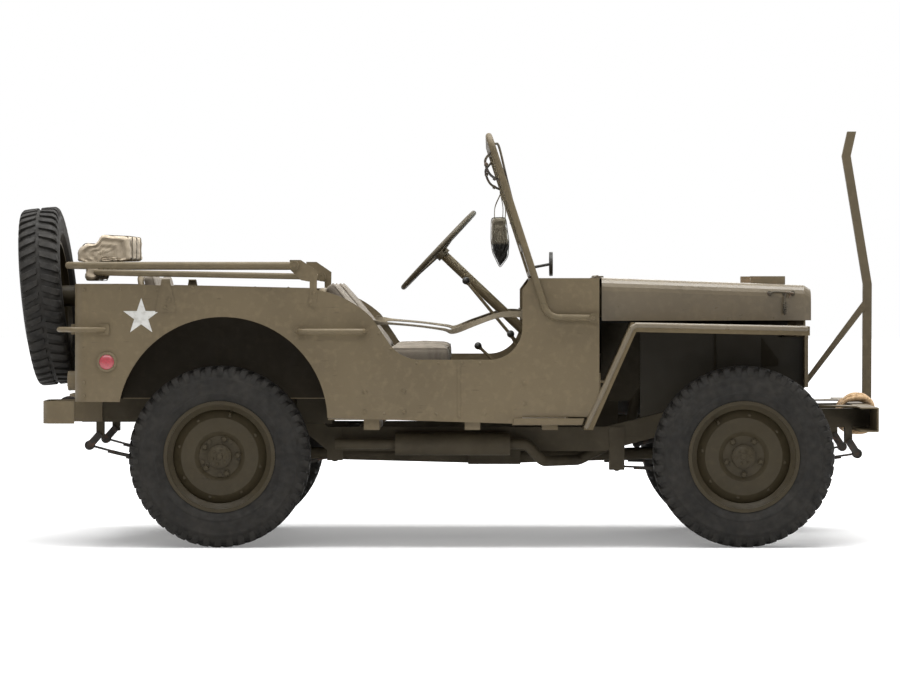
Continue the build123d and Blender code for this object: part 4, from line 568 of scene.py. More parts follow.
def new_piece(name, mesh, material, body, smooth_angle=None):
    """An object made from a mesh that rides on a CAD body."""
    mesh.materials.clear()
    mesh.materials.append(material)
    piece = bpy.data.objects.new(name, mesh)
    bpy.context.scene.collection.objects.link(piece)
    if smooth_angle is not None:
        mesh.shade_smooth()
        mesh.set_sharp_from_angle(angle=math.radians(smooth_angle))
    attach(piece, body)
    return piece


def lug_mesh(side):
    """One bar of tread on one side, from the shoulder to beside the middle."""
    bm = bmesh.new()
    rows = []
    for foot, top, out, half, turn in lug_path:
        row = []
        for radius, width in ((foot, half + 1.6), (top, half), (top, -half), (foot, -half - 1.6)):
            angle = math.radians(turn) + width / top
            row.append(bm.verts.new((mm(radius) * math.sin(angle), mm(side * out),
                                     mm(radius) * math.cos(angle))))
        rows.append(row)
    for first, second in zip(rows, rows[1:]):
        for low in range(3):
            bm.faces.new((first[low], first[low + 1], second[low + 1], second[low]))
    bm.faces.new(rows[0])
    bm.faces.new(rows[-1])
    bmesh.ops.recalc_face_normals(bm, faces=bm.faces)
    bevelled = [edge for edge in bm.edges if len(edge.link_faces) == 2]
    bmesh.ops.bevel(bm, geom=bevelled, offset=mm(1.2), segments=1, affect="EDGES")
    if side < 0:
        bmesh.ops.rotate(bm, verts=bm.verts, cent=(0, 0, 0),
                         matrix=Matrix.Rotation(math.pi / lug_count, 3, "Y"))
    return mesh_from(bm, "lug")


def tyre_mesh():
    """Carcass and tread of one tyre, about Y."""
    wall = lathe(carcass + [(r, -y) for r, y in reversed(carcass[:-1])], 128, "carcass")
    rings = [ring_of(lug_mesh(side), lug_count, tyre_rubber) for side in (-1, 1)]
    return joined("tyre", [wall] + rings)


tyre_shape = tyre_mesh()
lean = math.radians(6)
tyre_places = [
    # node, body, centre, turn about the upright, lean about Y
    ("tyre_front_right", "wheel_front_right", at(wheelbase, -wheel_y, axle_z), 0, 0),
    ("tyre_front_left", "wheel_front_left", at(wheelbase, wheel_y, axle_z), 0, 0),
    ("tyre_rear_right", "wheel_rear_right", at(0, -wheel_y, axle_z), 0, 0),
    ("tyre_rear_left", "wheel_rear_left", at(0, wheel_y, axle_z), 0, 0),
    ("spare_tyre", "chassis", at(-701, -250, 973), math.radians(90), -lean),
]
for count, (node, body, place, turn, tilt) in enumerate(tyre_places):
    mesh = tyre_shape.copy()
    spin = Matrix.Rotation(math.radians(2.3 * count), 4, "Y")
    mesh.transform(Matrix.Translation(place) @ Matrix.Rotation(tilt, 4, "Y")
                   @ Matrix.Rotation(turn, 4, "Z") @ spin)
    piece = new_piece("dressed_" + node, mesh, tyre_rubber, body, 32)
    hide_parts(node)


# Stars: a plain white star on each side, sprayed through a stencil on the panel behind the
# wheel arch and rubbed thin in places.
def star_paint():
    """Stencilled white paint, rubbed thin in places."""
    material, tree, bsdf = new_material("star_paint")
    rubbed = times(tree, grain(tree, 55, 8, 0.52, 0.7), 0.32)
    white = blend_colors(tree, grain(tree, 24, 5, 0.3, 0.7, seed=3.0), (0.50, 0.495, 0.47),
                         (0.60, 0.595, 0.565))
    tree.links.new(blend_colors(tree, rubbed, white, olive), bsdf.inputs["Base Color"])
    bsdf.inputs["Roughness"].default_value = 0.55
    bump(tree, bsdf, rubbed, 0.0003, 0.3)
    return material


white_star = star_paint()
body_y = 730
star_place = (-298, 894)
star_radius = 73
star_inner = 28.5
paint_lift = 0.35


def star_mesh(side):
    """A flat five-pointed star on one side of the body."""
    bm = bmesh.new()
    y = side * (body_y + paint_lift)
    points = []
    for count in range(10):
        angle = math.radians(90 + 36 * count)
        radius = star_inner if count % 2 else star_radius
        points.append(bm.verts.new(at(star_place[0] + radius * math.cos(angle), y,
                                      star_place[1] + radius * math.sin(angle))))
    middle = bm.verts.new(at(star_place[0], y, star_place[1]))
    for first, second in zip(points, points[1:] + points[:1]):
        bm.faces.new((middle, first, second))
    bmesh.ops.recalc_face_normals(bm, faces=bm.faces)
    if side * bm.faces[:][0].normal.y < 0:
        bmesh.ops.reverse_faces(bm, faces=bm.faces)
    return mesh_from(bm, "star")


for side, word in ((-1, "right"), (1, "left")):
    new_piece("star_" + word, star_mesh(side), white_star, "chassis")


# Wheels: each pressed steel rim has a drive flange with six bolts, five nuts on its studs, a
# ring of rivets and a valve. All are painted with the wheel.
wheel_paint = army_paint("wheel_paint", (0.038, 0.029, 0.0145), dust=0.05, shine=0.2)
paint_nodes(wheel_paint, "wheel_front_right", "wheel_front_left", "wheel_rear_right",
            "wheel_rear_left", "spare_wheel")
bolt_metal = cast_metal("bolt_metal", (0.085, 0.07, 0.045), 0.3, 0.45)
hub_face = 42
disc_face = 20.2
bolt_circle = 29
stud_circle = 69.85
rivet_circle = 160
valve_route = [(14, 178), (40, 176), (56, 170)]


def tube_mesh(points, radius, steps=10):
    """A round bar along points, closed at both ends with small domes."""
    points = [Vector(point) for point in points]
    bm = bmesh.new()
    rings = []
    side = None
    for count, point in enumerate(points):
        ahead = points[min(count + 1, len(points) - 1)] - points[max(count - 1, 0)]
        ahead.normalize()
        if side is None:
            side = ahead.orthogonal().normalized()
        side = (side - ahead * side.dot(ahead)).normalized()
        across = ahead.cross(side)
        shares = [(0, 1)]
        if count == 0:
            shares = [(-0.5, 0.55), (-0.2, 0.9), (0, 1)]
        if count == len(points) - 1:
            shares = [(0, 1), (0.2, 0.9), (0.5, 0.55)]
        for shift, size in shares:
            centre = point + ahead * radius * shift
            rings.append([bm.verts.new(centre + (side * math.cos(turn) + across * math.sin(turn))
                                       * radius * size)
                          for turn in [2 * math.pi * k / steps for k in range(steps)]])
    bridge(bm, rings)
    bm.faces.new(list(reversed(rings[0])))
    bm.faces.new(rings[-1])
    return mesh_from(bm, "tube")


def facing(place, direction):
    """A matrix that puts a shape turned about Y at a place, its Y along a direction."""
    return Matrix.Translation(place) @ direction.to_track_quat("Y", "Z").to_matrix().to_4x4()


def placed(mesh, matrix):
    """A copy of a mesh, put in place."""
    copy = mesh.copy()
    copy.transform(matrix)
    return copy


def hex_head(radius, height, chamfer):
    """A hexagonal head with a chamfered top, standing along Y from zero."""
    bm = bmesh.new()
    rings = []
    for size, level in ((1, 0), (1, height - chamfer), (1 - chamfer / radius, height)):
        rings.append([bm.verts.new((mm(radius * size) * math.sin(math.radians(60 * k)), mm(level),
                                    mm(radius * size) * math.cos(math.radians(60 * k))))
                      for k in range(6)])
    bridge(bm, rings)
    bm.faces.new(rings[0])
    bm.faces.new(rings[-1])
    bmesh.ops.recalc_face_normals(bm, faces=bm.faces)
    return mesh_from(bm, "hex_head")


def wheel_trim():
    """The flange, bolts, nuts and valve of one wheel, about Y, outward along Y."""
    flange = lathe([(0, hub_face + 16), (9, hub_face + 16), (12, hub_face + 14),
                    (13, hub_face + 7), (20, hub_face + 5.5), (36, hub_face + 5),
                    (39, hub_face + 3), (39, hub_face - 3), (44.5, hub_face - 6),
                    (46, hub_face - 9), (46, hub_face - 20)], 40, "flange")
    bolt = placed(hex_head(6, 5, 1.2), Matrix.Translation((0, mm(hub_face + 5),
                                                           mm(bolt_circle))))
    bolts = ring_of(bolt, 6, bolt_metal)
    nut = placed(hex_head(11.5, 13, 3), Matrix.Translation((0, mm(disc_face + 0.1),
                                                            mm(stud_circle))))
    washer = placed(lathe([(9, 1.5), (15, 1.4), (15.6, 0.3), (15.6, 0)], 20, "washer"),
                    Matrix.Translation((0, mm(disc_face), mm(stud_circle))))
    nuts = ring_of(joined("nut", [nut, washer]), 5, bolt_metal)
    dimple = placed(lathe([(0, 2.6), (5, 2.2), (7.5, 0.8), (8, 0)], 14, "rivet"),
                    Matrix.Translation((0, mm(disc_face + 2.3), mm(rivet_circle))))
    rivets = ring_of(dimple, 8, bolt_metal)
    valve = tube_mesh([(0, mm(y), mm(z)) for y, z in valve_route], mm(4))
    return joined("wheel_trim", [flange, bolts, nuts, rivets, valve])


trim_shape = wheel_trim()
for place, x, side in (("front_right", wheelbase, -1), ("front_left", wheelbase, 1),
                       ("rear_right", 0, -1), ("rear_left", 0, 1)):
    spin = Matrix.Rotation(math.radians(17 + 31 * side + x / 40), 4, "Y")
    mesh = placed(trim_shape, facing(at(x, side * wheel_y, axle_z), Vector((0, side, 0))) @ spin)
    new_piece("hub_trim_" + place, mesh, wheel_paint, "wheel_" + place, 35)


# Seats: cushions of stuffed canvas with sewn channels and a piped edge. They lie on the
# seat pans and against the tube backs, and are crowned where they bear on nothing.
def cloth(name, color, scale=1.0, stain=0.5, dark_below=None):
    """Woven canvas: threads both ways as bump, washed out and stained in patches. Below a
    height it can be oil-dark."""
    material, tree, bsdf = new_material(name)
    places = tree.nodes.new("ShaderNodeTexCoord")
    threads = []
    for direction in ("X", "Y", "Z"):
        wave = tree.nodes.new("ShaderNodeTexWave")
        wave.wave_type = "BANDS"
        wave.bands_direction = direction
        wave.inputs["Scale"].default_value = 260 * scale
        wave.inputs["Distortion"].default_value = 0.6
        tree.links.new(places.outputs["Object"], wave.inputs["Vector"])
        threads.append(wave.outputs["Fac"])
    weave = times(tree, times(tree, threads[0], threads[1]), threads[2])
    washed = blend_colors(tree, grain(tree, 6, 6, 0.3, 0.7), shade_of(color, 0.72), color)
    stained = blend_colors(tree, times(tree, grain(tree, 20, 8, 0.5, 0.72, seed=8.0), stain),
                           washed, shade_of(color, 0.5))
    woven = blend_colors(tree, times(tree, weave, 0.5), stained, shade_of(color, 1.35))
    if dark_below:
        woven = blend_colors(tree, height_share(tree, dark_below, dark_below + 0.012), woven,
                             (0.012, 0.011, 0.009))
    tree.links.new(woven, bsdf.inputs["Base Color"])
    bsdf.inputs["Roughness"].default_value = 0.92
    bsdf.inputs["Sheen Weight"].default_value = 0.12
    bsdf.inputs["Sheen Roughness"].default_value = 0.5
    bsdf.inputs["Specular IOR Level"].default_value = 0.2
    bump(tree, bsdf, weave, 0.0008, 0.5)
    return material


seat_canvas = cloth("seat_canvas", (0.22, 0.188, 0.148), stain=0.7)
paint_nodes(seat_canvas, "seat_cushions")
seats = [
    # name, inner y, outer y, rear x, front x, pan top, cushion top, lean, back length, channels
    ("passenger", -630, -190, 636, 890, 699.5, 784, 39, 385, 4),
    ("driver", 190, 630, 636, 890, 699.5, 784, 39, 385, 4),
    ("bench", -470, 470, -250, 150, 759, 830, 15, 300, 8),
]
pan_half = 4.5
piping_radius = 3.2
cushion_edge = 22
channel_width = 7
channel_depth = 6.5
seat_gap = 16
back_foot = 45
back_half_depth = 21
back_gap = 14


def cushion_place(u, v, w, half, crown, channels, seed):
    """Where a lattice point of a cushion lies: rounded, crowned, pulled in and sewn."""
    a, b, c = half
    edge = min(cushion_edge, c * 0.8)
    point = Vector((u * a, v * b, w * c))
    inner = Vector((max(-a + edge, min(a - edge, point.x)), max(-b + edge, min(b - edge, point.y)),
                    max(-c + edge, min(c - edge, point.z))))
    out = point - inner
    if out.length > 0:
        point = inner + out * (edge / out.length)
    swell = (1 - u * u) * (1 - v * v)
    upper = max(0.0, w)
    point.x -= math.copysign(9 * (1 - v * v) * abs(u) ** 6, u)
    point.y -= math.copysign(7 * (1 - u * u) * abs(v) ** 6, v)
    point.z += upper * crown * swell ** 0.6
    for count in range(1, channels):
        line = -b + 2 * b * count / channels
        sewn = math.exp(-((point.y - line) / channel_width) ** 2)
        point.z -= upper * channel_depth * sewn * min(1.0, swell * 5)
    crease = noise.noise(Vector((point.x * 0.018, point.y * 0.018, seed)))
    fine = noise.noise(Vector((point.x * 0.06, point.y * 0.06, seed + 5)))
    point.z += upper * (2.6 * crease + 1.1 * fine) * min(1.0, swell * 4)
    return point


def cushion_mesh(half, crown, channels, seed):
    """A closed cushion about the origin, with its crown up, and its piping."""
    counts = (26, 12 * channels, 8)
    spots = [[math.sin(math.pi / 2 * (2 * k / count - 1)) for k in range(count + 1)]
             for count in counts]
    spots[1] = [2 * k / counts[1] - 1 for k in range(counts[1] + 1)]
    for k in range(4):
        share = -1 + 0.05 * (k / 4)
        spots[1][k], spots[1][-1 - k] = share, -share
    bm = bmesh.new()
    verts = {}

    def vert(key):
        """The corner point with this key, made once."""
        if key not in verts:
            u, v, w = (spots[axis][key[axis]] for axis in range(3))
            verts[key] = bm.verts.new(cushion_place(u, v, w, half, crown, channels, seed) / 1000)
        return verts[key]

    for axis in range(3):
        first, second = [other for other in range(3) if other != axis]
        for level in (0, counts[axis]):
            for i in range(counts[first]):
                for j in range(counts[second]):
                    corners = []
                    for di, dj in ((0, 0), (1, 0), (1, 1), (0, 1)):
                        key = [0, 0, 0]
                        key[axis], key[first], key[second] = level, i + di, j + dj
                        corners.append(vert(tuple(key)))
                    bm.faces.new(corners)
    bmesh.ops.recalc_face_normals(bm, faces=bm.faces)
    cushion = mesh_from(bm, "cushion")
    ring = []
    for u, v, count in ((-1, -1, 14), (1, -1, 30), (1, 1, 14), (-1, 1, 30)):
        for k in range(count):
            t = 2 * k / count
            if u == v:
                spot = (u - u * t, v) if u < 0 else (u - t, v)
            else:
                spot = (u, v + t) if u > 0 else (u, v - t)
            ring.append(cushion_place(*spot, 1, half, crown, channels, seed) / 1000)
    ring.append(ring[0])
    ring.append(ring[1])
    return joined("cushion", [cushion, tube_mesh(ring, mm(piping_radius), 8)])


for count, (name, low_y, high_y, rear_x, front_x, pan, top, tilt, length, rows) in enumerate(seats):
    half = ((front_x - rear_x - seat_gap) / 2, (high_y - low_y) / 2 - 3, (top - pan) / 2 - 4)
    mesh = cushion_mesh(half, 9, rows, 3.0 * count)
    middle_y = (low_y + high_y) / 2
    mesh.transform(Matrix.Translation(at((rear_x + seat_gap + front_x) / 2, middle_y,
                                         pan + 0.6 + half[2])))
    base = new_piece("cushion_" + name, mesh, seat_canvas, "chassis", 60)
    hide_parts("seat_cushions")
    lean_angle = math.radians(tilt)
    up = Vector((-math.sin(lean_angle), 0, math.cos(lean_angle)))
    ahead = Vector((math.cos(lean_angle), 0, math.sin(lean_angle)))
    foot = Vector((rear_x, middle_y, pan - pan_half))
    half = ((length - back_foot) / 2, (high_y - low_y) / 2 - 3, back_half_depth)
    centre = foot + up * (back_foot + half[0]) + ahead * (back_gap + half[2])
    mesh = cushion_mesh(half, 8, rows, 3.0 * count + 1.5)
    turned = Matrix((up, (0, -1, 0), ahead)).transposed()
    mesh.transform(Matrix.Translation(at(*centre)) @ turned.to_4x4())
    back = new_piece("back_" + name, mesh, seat_canvas, "chassis", 60)
    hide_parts("seat_cushions")


# Canvas top: folded in layers and bundled on the front bow behind the rear seat, tied
# down with three webbing straps that pinch it.
canvas = cloth("canvas", (0.50, 0.42, 0.315))
paint_nodes(canvas, "canvas_roll")
webbing = cloth("webbing", (0.17, 0.14, 0.095), scale=1.6)
roll_outline = [(-597, 1107.5), (-597, 1150), (-570, 1188), (-508, 1185), (-500, 1221),
                (-372, 1215), (-372, 1110), (-505, 1107.5), (-508, 1030), (-565, 1030),
                (-565, 1107.5)]
roll_half = 300
roll_ties = (-195, 0, 195)
outline_step = 9
tie_width = 17
tie_depth = 5.5
end_layers = [
    # share of the outline, depth below the end's plane
    (0.84, 0), (0.76, 4), (0.72, 5), (0.6, 1), (0.56, 0), (0.44, 4), (0.4, 5), (0.28, 1),
    (0.22, 0), (0.1, 3),
]


def rounded_outline(outline, inset, ease=2):
    """An (x, z) outline cut into short runs, its corners eased, moved in by inset."""
    fine = []
    for (x, z), (next_x, next_z) in zip(outline, outline[1:] + outline[:1]):
        runs = max(1, round(math.hypot(next_x - x, next_z - z) / outline_step))
        fine += [Vector((x + (next_x - x) * k / runs, z + (next_z - z) * k / runs))
                 for k in range(runs)]
    for _ in range(ease):
        fine = [(before + point * 2 + after) / 4
                for before, point, after in zip(fine[-1:] + fine[:-1], fine, fine[1:] + fine[:1])]
    size = len(fine)
    area = sum(a.x * b.y - b.x * a.y for a, b in zip(fine, fine[1:] + fine[:1]))
    moved = []
    for k in range(size):
        along = (fine[(k + 1) % size] - fine[k - 1]).normalized()
        inward = Vector((-along.y, along.x)) * math.copysign(1, area)
        moved.append((fine[k] + inward * inset, inward))
    return moved


def ridged(place):
    """Noise with sharp creases, from 0 at a crease to 1 between creases."""
    return min(1.0, 2.2 * abs(noise.noise(place)))


def bundle_mesh(outline, half_width, fold, ties, seed, rounding=22, stations=84, ease=6):
    """A stuffed fabric bundle along Y on an outline, with folds and rolled layers at its ends."""
    ring = rounded_outline(outline, 2, ease)
    middle = sum((point for point, _ in ring), Vector((0, 0))) / len(ring)
    bm = bmesh.new()
    places = []
    for station in range(stations + 1):
        y = (2 * station / stations - 1) * half_width
        over = max(0.0, (abs(y) - half_width + rounding) / rounding)
        places.append((y, 0.88 + 0.12 * math.sqrt(max(0.0, 1 - over * over))))
    for size, dip in end_layers:
        places = [(dip - half_width, size)] + places + [(half_width - dip, size)]
    rows = []
    for y, shrink in places:
        row = []
        for k, (point, inward) in enumerate(ring):
            layers = 1 - ridged(Vector((k * 0.21, y * 0.005, seed)))
            crease = 1 - ridged(Vector((k * 0.1 + y * 0.004, y * 0.019, seed + 7)))
            sag = noise.noise(Vector((k * 0.07, y * 0.009, seed + 3)))
            lean_y = 4 * noise.noise(Vector((k * 0.25, shrink * 4, seed))) * (shrink < 0.88)
            deep = fold * (0.2 + 1.5 * layers ** 2 + 1.1 * crease ** 2 + 0.8 * sag)
            for tie in ties:
                pinch = math.exp(-((y - tie) / tie_width) ** 2)
                deep += tie_depth * pinch * (1 + 0.5 * math.sin(k * 1.9))
            spot = point + inward * max(0.0, min(deep, 3 * fold + 8))
            spot = middle + (spot - middle) * shrink
            row.append(bm.verts.new(at(spot.x, y - math.copysign(abs(lean_y), y), spot.y)))
        rows.append(row)
    bridge(bm, rows)
    for row in (rows[0], rows[-1]):
        cap = bm.faces.new(row)
        spun = bmesh.ops.poke(bm, faces=[cap])
        spun["verts"][0].co += Vector((0, math.copysign(0.001, row[0].co.y), 0))
    bmesh.ops.recalc_face_normals(bm, faces=bm.faces)
    return mesh_from(bm, "bundle")


def ribbon_mesh(points, widths, thickness, name="ribbon"):
    """A flat band along points; widths holds the half-width vector at each point."""
    bm = bmesh.new()
    rows = []
    for count, (point, half) in enumerate(zip(points, widths)):
        ahead = points[min(count + 1, len(points) - 1)] - points[max(count - 1, 0)]
        lift = ahead.cross(half).normalized() * thickness / 2
        row = []
        for share, side in ((-1, -1), (-0.9, -1), (0, -1.15), (0.9, -1), (1, -1),
                            (1, 1), (0.9, 1), (0, 0.85), (-0.9, 1), (-1, 1)):
            row.append(bm.verts.new(point + half * share + lift * side))
        rows.append(row)
    bridge(bm, rows)
    bm.faces.new(list(reversed(rows[0])))
    bm.faces.new(rows[-1])
    bmesh.ops.recalc_face_normals(bm, faces=bm.faces)
    return mesh_from(bm, name)


def band_round(outline, y, width, inset, name):
    """A strap right round an outline at one y."""
    ring = [at(point.x, y, point.y) for point, _ in rounded_outline(outline, inset)]
    ring += ring[:2]
    return ribbon_mesh(ring, [Vector((0, mm(width / 2), 0))] * len(ring), mm(2.4), name)


roll = new_piece("dressed_canvas_roll", bundle_mesh(roll_outline, roll_half, 4, roll_ties, 11.0),
                 canvas, "top_bow_front", 70)
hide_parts("canvas_roll")
ties = joined("ties", [band_round(roll_outline, tie, 25, 4.5, "tie") for tie in roll_ties])
new_piece("canvas_ties", ties, webbing, "top_bow_front", 40)


# Windshield pouch: a canvas bag with an oil-dark bottom, buckled with two straps and hung
# by five narrower ones from the windshield's top tube, on its inner side.
dark_canvas = cloth("dark_canvas", (0.17, 0.145, 0.105), dark_below=1.178)
paint_nodes(dark_canvas, "windshield_pouch")
pouch_outline = [(1056, 1150), (1088, 1083), (1122, 1130), (1126, 1190), (1112, 1290),
                 (1052, 1288), (1050, 1200)]
pouch_half = 170
pouch_buckles = (-70, 70)


def smooth_line(points, parts=8):
    """Points on a smooth curve through the given points."""
    points = [Vector(point) for point in points]
    ends = [2 * points[0] - points[1]] + points + [2 * points[-1] - points[-2]]
    line = []
    for a, b, c, d in zip(ends, ends[1:], ends[2:], ends[3:]):
        for k in range(parts):
            t = k / parts
            line.append(0.5 * (2 * b + (c - a) * t + (2 * a - 5 * b + 4 * c - d) * t * t
                               + (3 * b - a - 3 * c + d) * t ** 3))
    return line + [points[-1]]


def smooth_route(points, parts):
    """A smooth curve through places in millimetres, in the row's frame."""
    return [at(*point) for point in smooth_line(points, parts)]


pouch = new_piece("dressed_windshield_pouch",
                  bundle_mesh(pouch_outline, pouch_half, 2.6, pouch_buckles, 23.0, 14, 44, 3),
                  dark_canvas, "windshield", 70)
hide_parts("windshield_pouch")
pouch_bands = [band_round(pouch_outline, y, 22, 1.0, "pouch_strap") for y in pouch_buckles]
for y, low_x in ((-125, 1066), (-125, 1108), (0, 1098), (125, 1066), (125, 1108)):
    hanger = smooth_line([at(low_x, y, 1270), at(low_x + 2, y, 1330), at(1090, y, 1385),
                          at(1089.5, y, 1412)])
    pouch_bands.append(ribbon_mesh(hanger, [Vector((0, mm(12), 0))] * len(hanger), mm(3),
                                   "hanger"))
new_piece("pouch_straps", joined("pouch_straps", pouch_bands), webbing, "windshield", 40)


# Safety straps: flat webbing across each doorway, sagging and twisted nearly edge on, sewn
# over a steel loop at both ends.
paint_nodes(webbing, "safety_strap")
strap_route = [(566, 870, 0), (606, 871, 35), (640, 870, 68), (760, 860, 74), (866, 846, 68),
               (905, 838, 40), (985, 868, -24), (1075, 899, -34), (1140, 905, -8), (1196, 900, 0)]
strap_y = 710.5
strap_half = 12
for side, word in ((-1, "right"), (1, "left")):
    line = smooth_route([(x, side * strap_y, z) for x, z, _ in strap_route], 6)
    turns = smooth_line([(turn, 0, 0) for _, _, turn in strap_route], 6)
    halves = []
    for turn in turns:
        angle = math.radians(turn.x)
        halves.append(Vector((0, side * math.sin(angle), math.cos(angle))) * mm(strap_half))
    meshes = [ribbon_mesh(line, halves, mm(2.6), "strap")]
    for spot, step in ((3, 1), (len(line) - 4, -1)):
        loop = [line[spot] + halves[spot] * 1.25, line[spot - 2 * step] + halves[spot] * 1.3,
                line[spot - 2 * step] - halves[spot] * 1.3, line[spot] - halves[spot] * 1.25]
        meshes.append(tube_mesh(smooth_line(loop, 5), mm(2.5), 8))
    strap = new_piece("dressed_strap_" + word, joined("strap", meshes), webbing, "chassis",
                      40)
    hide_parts("safety_strap")


# Reflectors and lamps: red pressed glass in painted steel bezels with three screws, and
# fluted clear glass over the silvered bowls of the headlamps.
def red_glass():
    """Pressed red reflector glass."""
    material, tree, bsdf = new_material("red_glass")
    cells = tree.nodes.new("ShaderNodeTexVoronoi")
    cells.inputs["Scale"].default_value = 260
    places = tree.nodes.new("ShaderNodeTexCoord")
    tree.links.new(places.outputs["Object"], cells.inputs["Vector"])
    deep = blend_colors(tree, cells.outputs["Distance"], (0.20, 0.006, 0.014), (0.48, 0.02, 0.04))
    tree.links.new(deep, bsdf.inputs["Base Color"])
    bsdf.inputs["Roughness"].default_value = 0.12
    bsdf.inputs["Coat Weight"].default_value = 0.6
    bump(tree, bsdf, cells.outputs["Distance"], 0.0008, 0.5)
    return material


reflector_red = red_glass()


def lamp_lens():
    """A fluted headlamp lens over its silvered bowl."""
    material, tree, bsdf = new_material("lamp_lens")
    places = tree.nodes.new("ShaderNodeTexCoord")
    flutes = tree.nodes.new("ShaderNodeTexWave")
    flutes.bands_direction = "Y"
    flutes.inputs["Scale"].default_value = 30
    flutes.inputs["Distortion"].default_value = 0.8
    tree.links.new(places.outputs["Object"], flutes.inputs["Vector"])
    glassy = blend_colors(tree, grain(tree, 14, 5, 0.3, 0.7), (0.50, 0.53, 0.52),
                          (0.72, 0.74, 0.72))
    tree.links.new(glassy, bsdf.inputs["Base Color"])
    bsdf.inputs["Metallic"].default_value = 0.6
    bsdf.inputs["Coat Weight"].default_value = 1.0
    rough_between(tree, bsdf, grain(tree, 30, 6, 0.4, 0.8, seed=2.0), 0.1, 0.28)
    bump(tree, bsdf, flutes.outputs["Fac"], 0.002, 0.5)
    return material


def lens_and_bezel(lens_radius, bezel_radius, depth, screws):
    """A domed lens and its ring, turned about Y, their front along Y."""
    lens = lathe([(0, depth + 3), (lens_radius * 0.5, depth + 2.4),
                  (lens_radius * 0.85, depth + 1.0), (lens_radius, depth - 1.5),
                  (lens_radius, depth - 3)], 40, "lens")
    bezel = lathe([(lens_radius - 1, depth - 2.5), (lens_radius - 1, depth + 1.2),
                   (lens_radius + 2, depth + 2.6), (bezel_radius - 2, depth + 1.4),
                   (bezel_radius + 0.6, depth - 1.5), (bezel_radius + 0.6, depth - 8)],
                  40, "bezel")
    if screws:
        screw = placed(lathe([(0, 1.6), (2.4, 1.2), (3.4, 0)], 10, "screw"),
                       Matrix.Translation((0, mm(depth + 1.6),
                                           mm((lens_radius + bezel_radius) / 2 + 0.5))))
        bezel = joined("bezel", [bezel, ring_of(screw, screws, olive_paint)])
    return lens, bezel


lamps = [
    # name, centre, facing, lens radius, bezel radius, depth, screws, lens finish
    ("reflector_right", at(-431, -730, 720), (0, -1, 0), 30, 38.5, 9, 3, "red"),
    ("reflector_left", at(-431, 730, 720), (0, 1, 0), 30, 38.5, 9, 3, "red"),
    ("tail_lamp_right", at(-563, -600, 645), (-1, 0, 0), 27, 38, 28, 3, "red"),
    ("tail_lamp_left", at(-563, 600, 645), (-1, 0, 0), 27, 38, 28, 3, "red"),
    ("headlamp_right", at(2280, -305, 850), (1, 0, 0), 68, 76, 10, 0, "clear"),
    ("headlamp_left", at(2280, 305, 850), (1, 0, 0), 68, 76, 10, 0, "clear"),
]
lens_finishes = {"red": reflector_red, "clear": lamp_lens()}
for name, place, direction, lens_radius, bezel_radius, depth, screws, finish in lamps:
    lens, bezel = lens_and_bezel(lens_radius, bezel_radius, depth, screws)
    matrix = facing(place, Vector(direction))
    new_piece(name + "_lens", placed(lens, matrix), lens_finishes[finish], "chassis",
              50)
    new_piece(name + "_bezel", placed(bezel, matrix), olive_paint, "chassis", 35)


# Windshield arms: a bent steel rod on each side holds the glass frame's lower edge ahead of
# the outer frame, with a clamp screw inside. Rods and clamps are welded to the tubes.
arm_y = 738
arm_route = [(1050, 1566), (1068, 1562), (1083, 1550), (1112, 1430), (1146, 1292), (1143, 1280),
             (1133, 1278)]
clamp_route = [(1052, 1530), (1030, 1500), (1036, 1466), (1052, 1440), (1078, 1424), (1089, 1420)]
arms = []
for side in (-1, 1):
    for route, radius in ((arm_route, 4.5), (clamp_route, 5)):
        places = [(x, side * arm_y, z) for x, z in route]
        arms.append(tube_mesh(smooth_route(places, 5), mm(radius), 12))
    for x, z, length in ((1033, 1482, 20), (1066, 1428, 16)):
        arms.append(placed(hex_head(9, length, 2),
                           facing(at(x, side * (arm_y - length / 2), z), Vector((0, side, 0)))))
new_piece("windshield_arms", joined("arms", arms), bolt_metal, "windshield", 40)


# Controls: the gear lever and two transfer levers with black ball knobs and ribbed rubber
# boots on the tunnel, and three pedals with ribbed rubber treads on bent arms.
lever_routes = [[(1306, 0, 614), (1170, 0, 770), (951, 0, 1034)],
                [(1236, -48, 614), (1188, -48, 706), (1131, -48, 820)],
                [(1170, -84, 614), (1096, -84, 682), (1000, -84, 773)]]
pedal_root = (1388, 555.6)
pedal_tip = (1318.3, 620.8)
pad_size = (60, 8, 72)
pad_bar_size = (50, 3, 5)
pad_bar_pitch = 11
boot_shape = lathe([(0, 0.5), (22, 0.5), (22, 3), (19, 4.5), (20, 7), (16, 9), (17, 11.5), (12, 14),
                    (8.5, 19), (0, 19)], 28, "boot")
knob_shape = lathe([(15 * math.cos(math.radians(turn)), 15 * math.sin(math.radians(turn)))
                    for turn in range(-90, 91, 15)], 24, "knob")
rods, knobs, boots = [], [], []
for route in lever_routes:
    rods.append(tube_mesh(smooth_route(route, 6), mm(6.5), 14))
    rods.append(placed(lathe([(0, -17), (8.5, -17), (8.5, -12), (0, -12)], 18, "collar"),
                       facing(at(*route[-1]), at(*route[-1]) - at(*route[-2]))))
    knobs.append(placed(knob_shape, Matrix.Translation(at(*route[-1]))))
    boots.append(placed(boot_shape, facing(at(route[0][0], route[0][1], 610),
                                           Vector((0, 0, 1)))))
treads = []
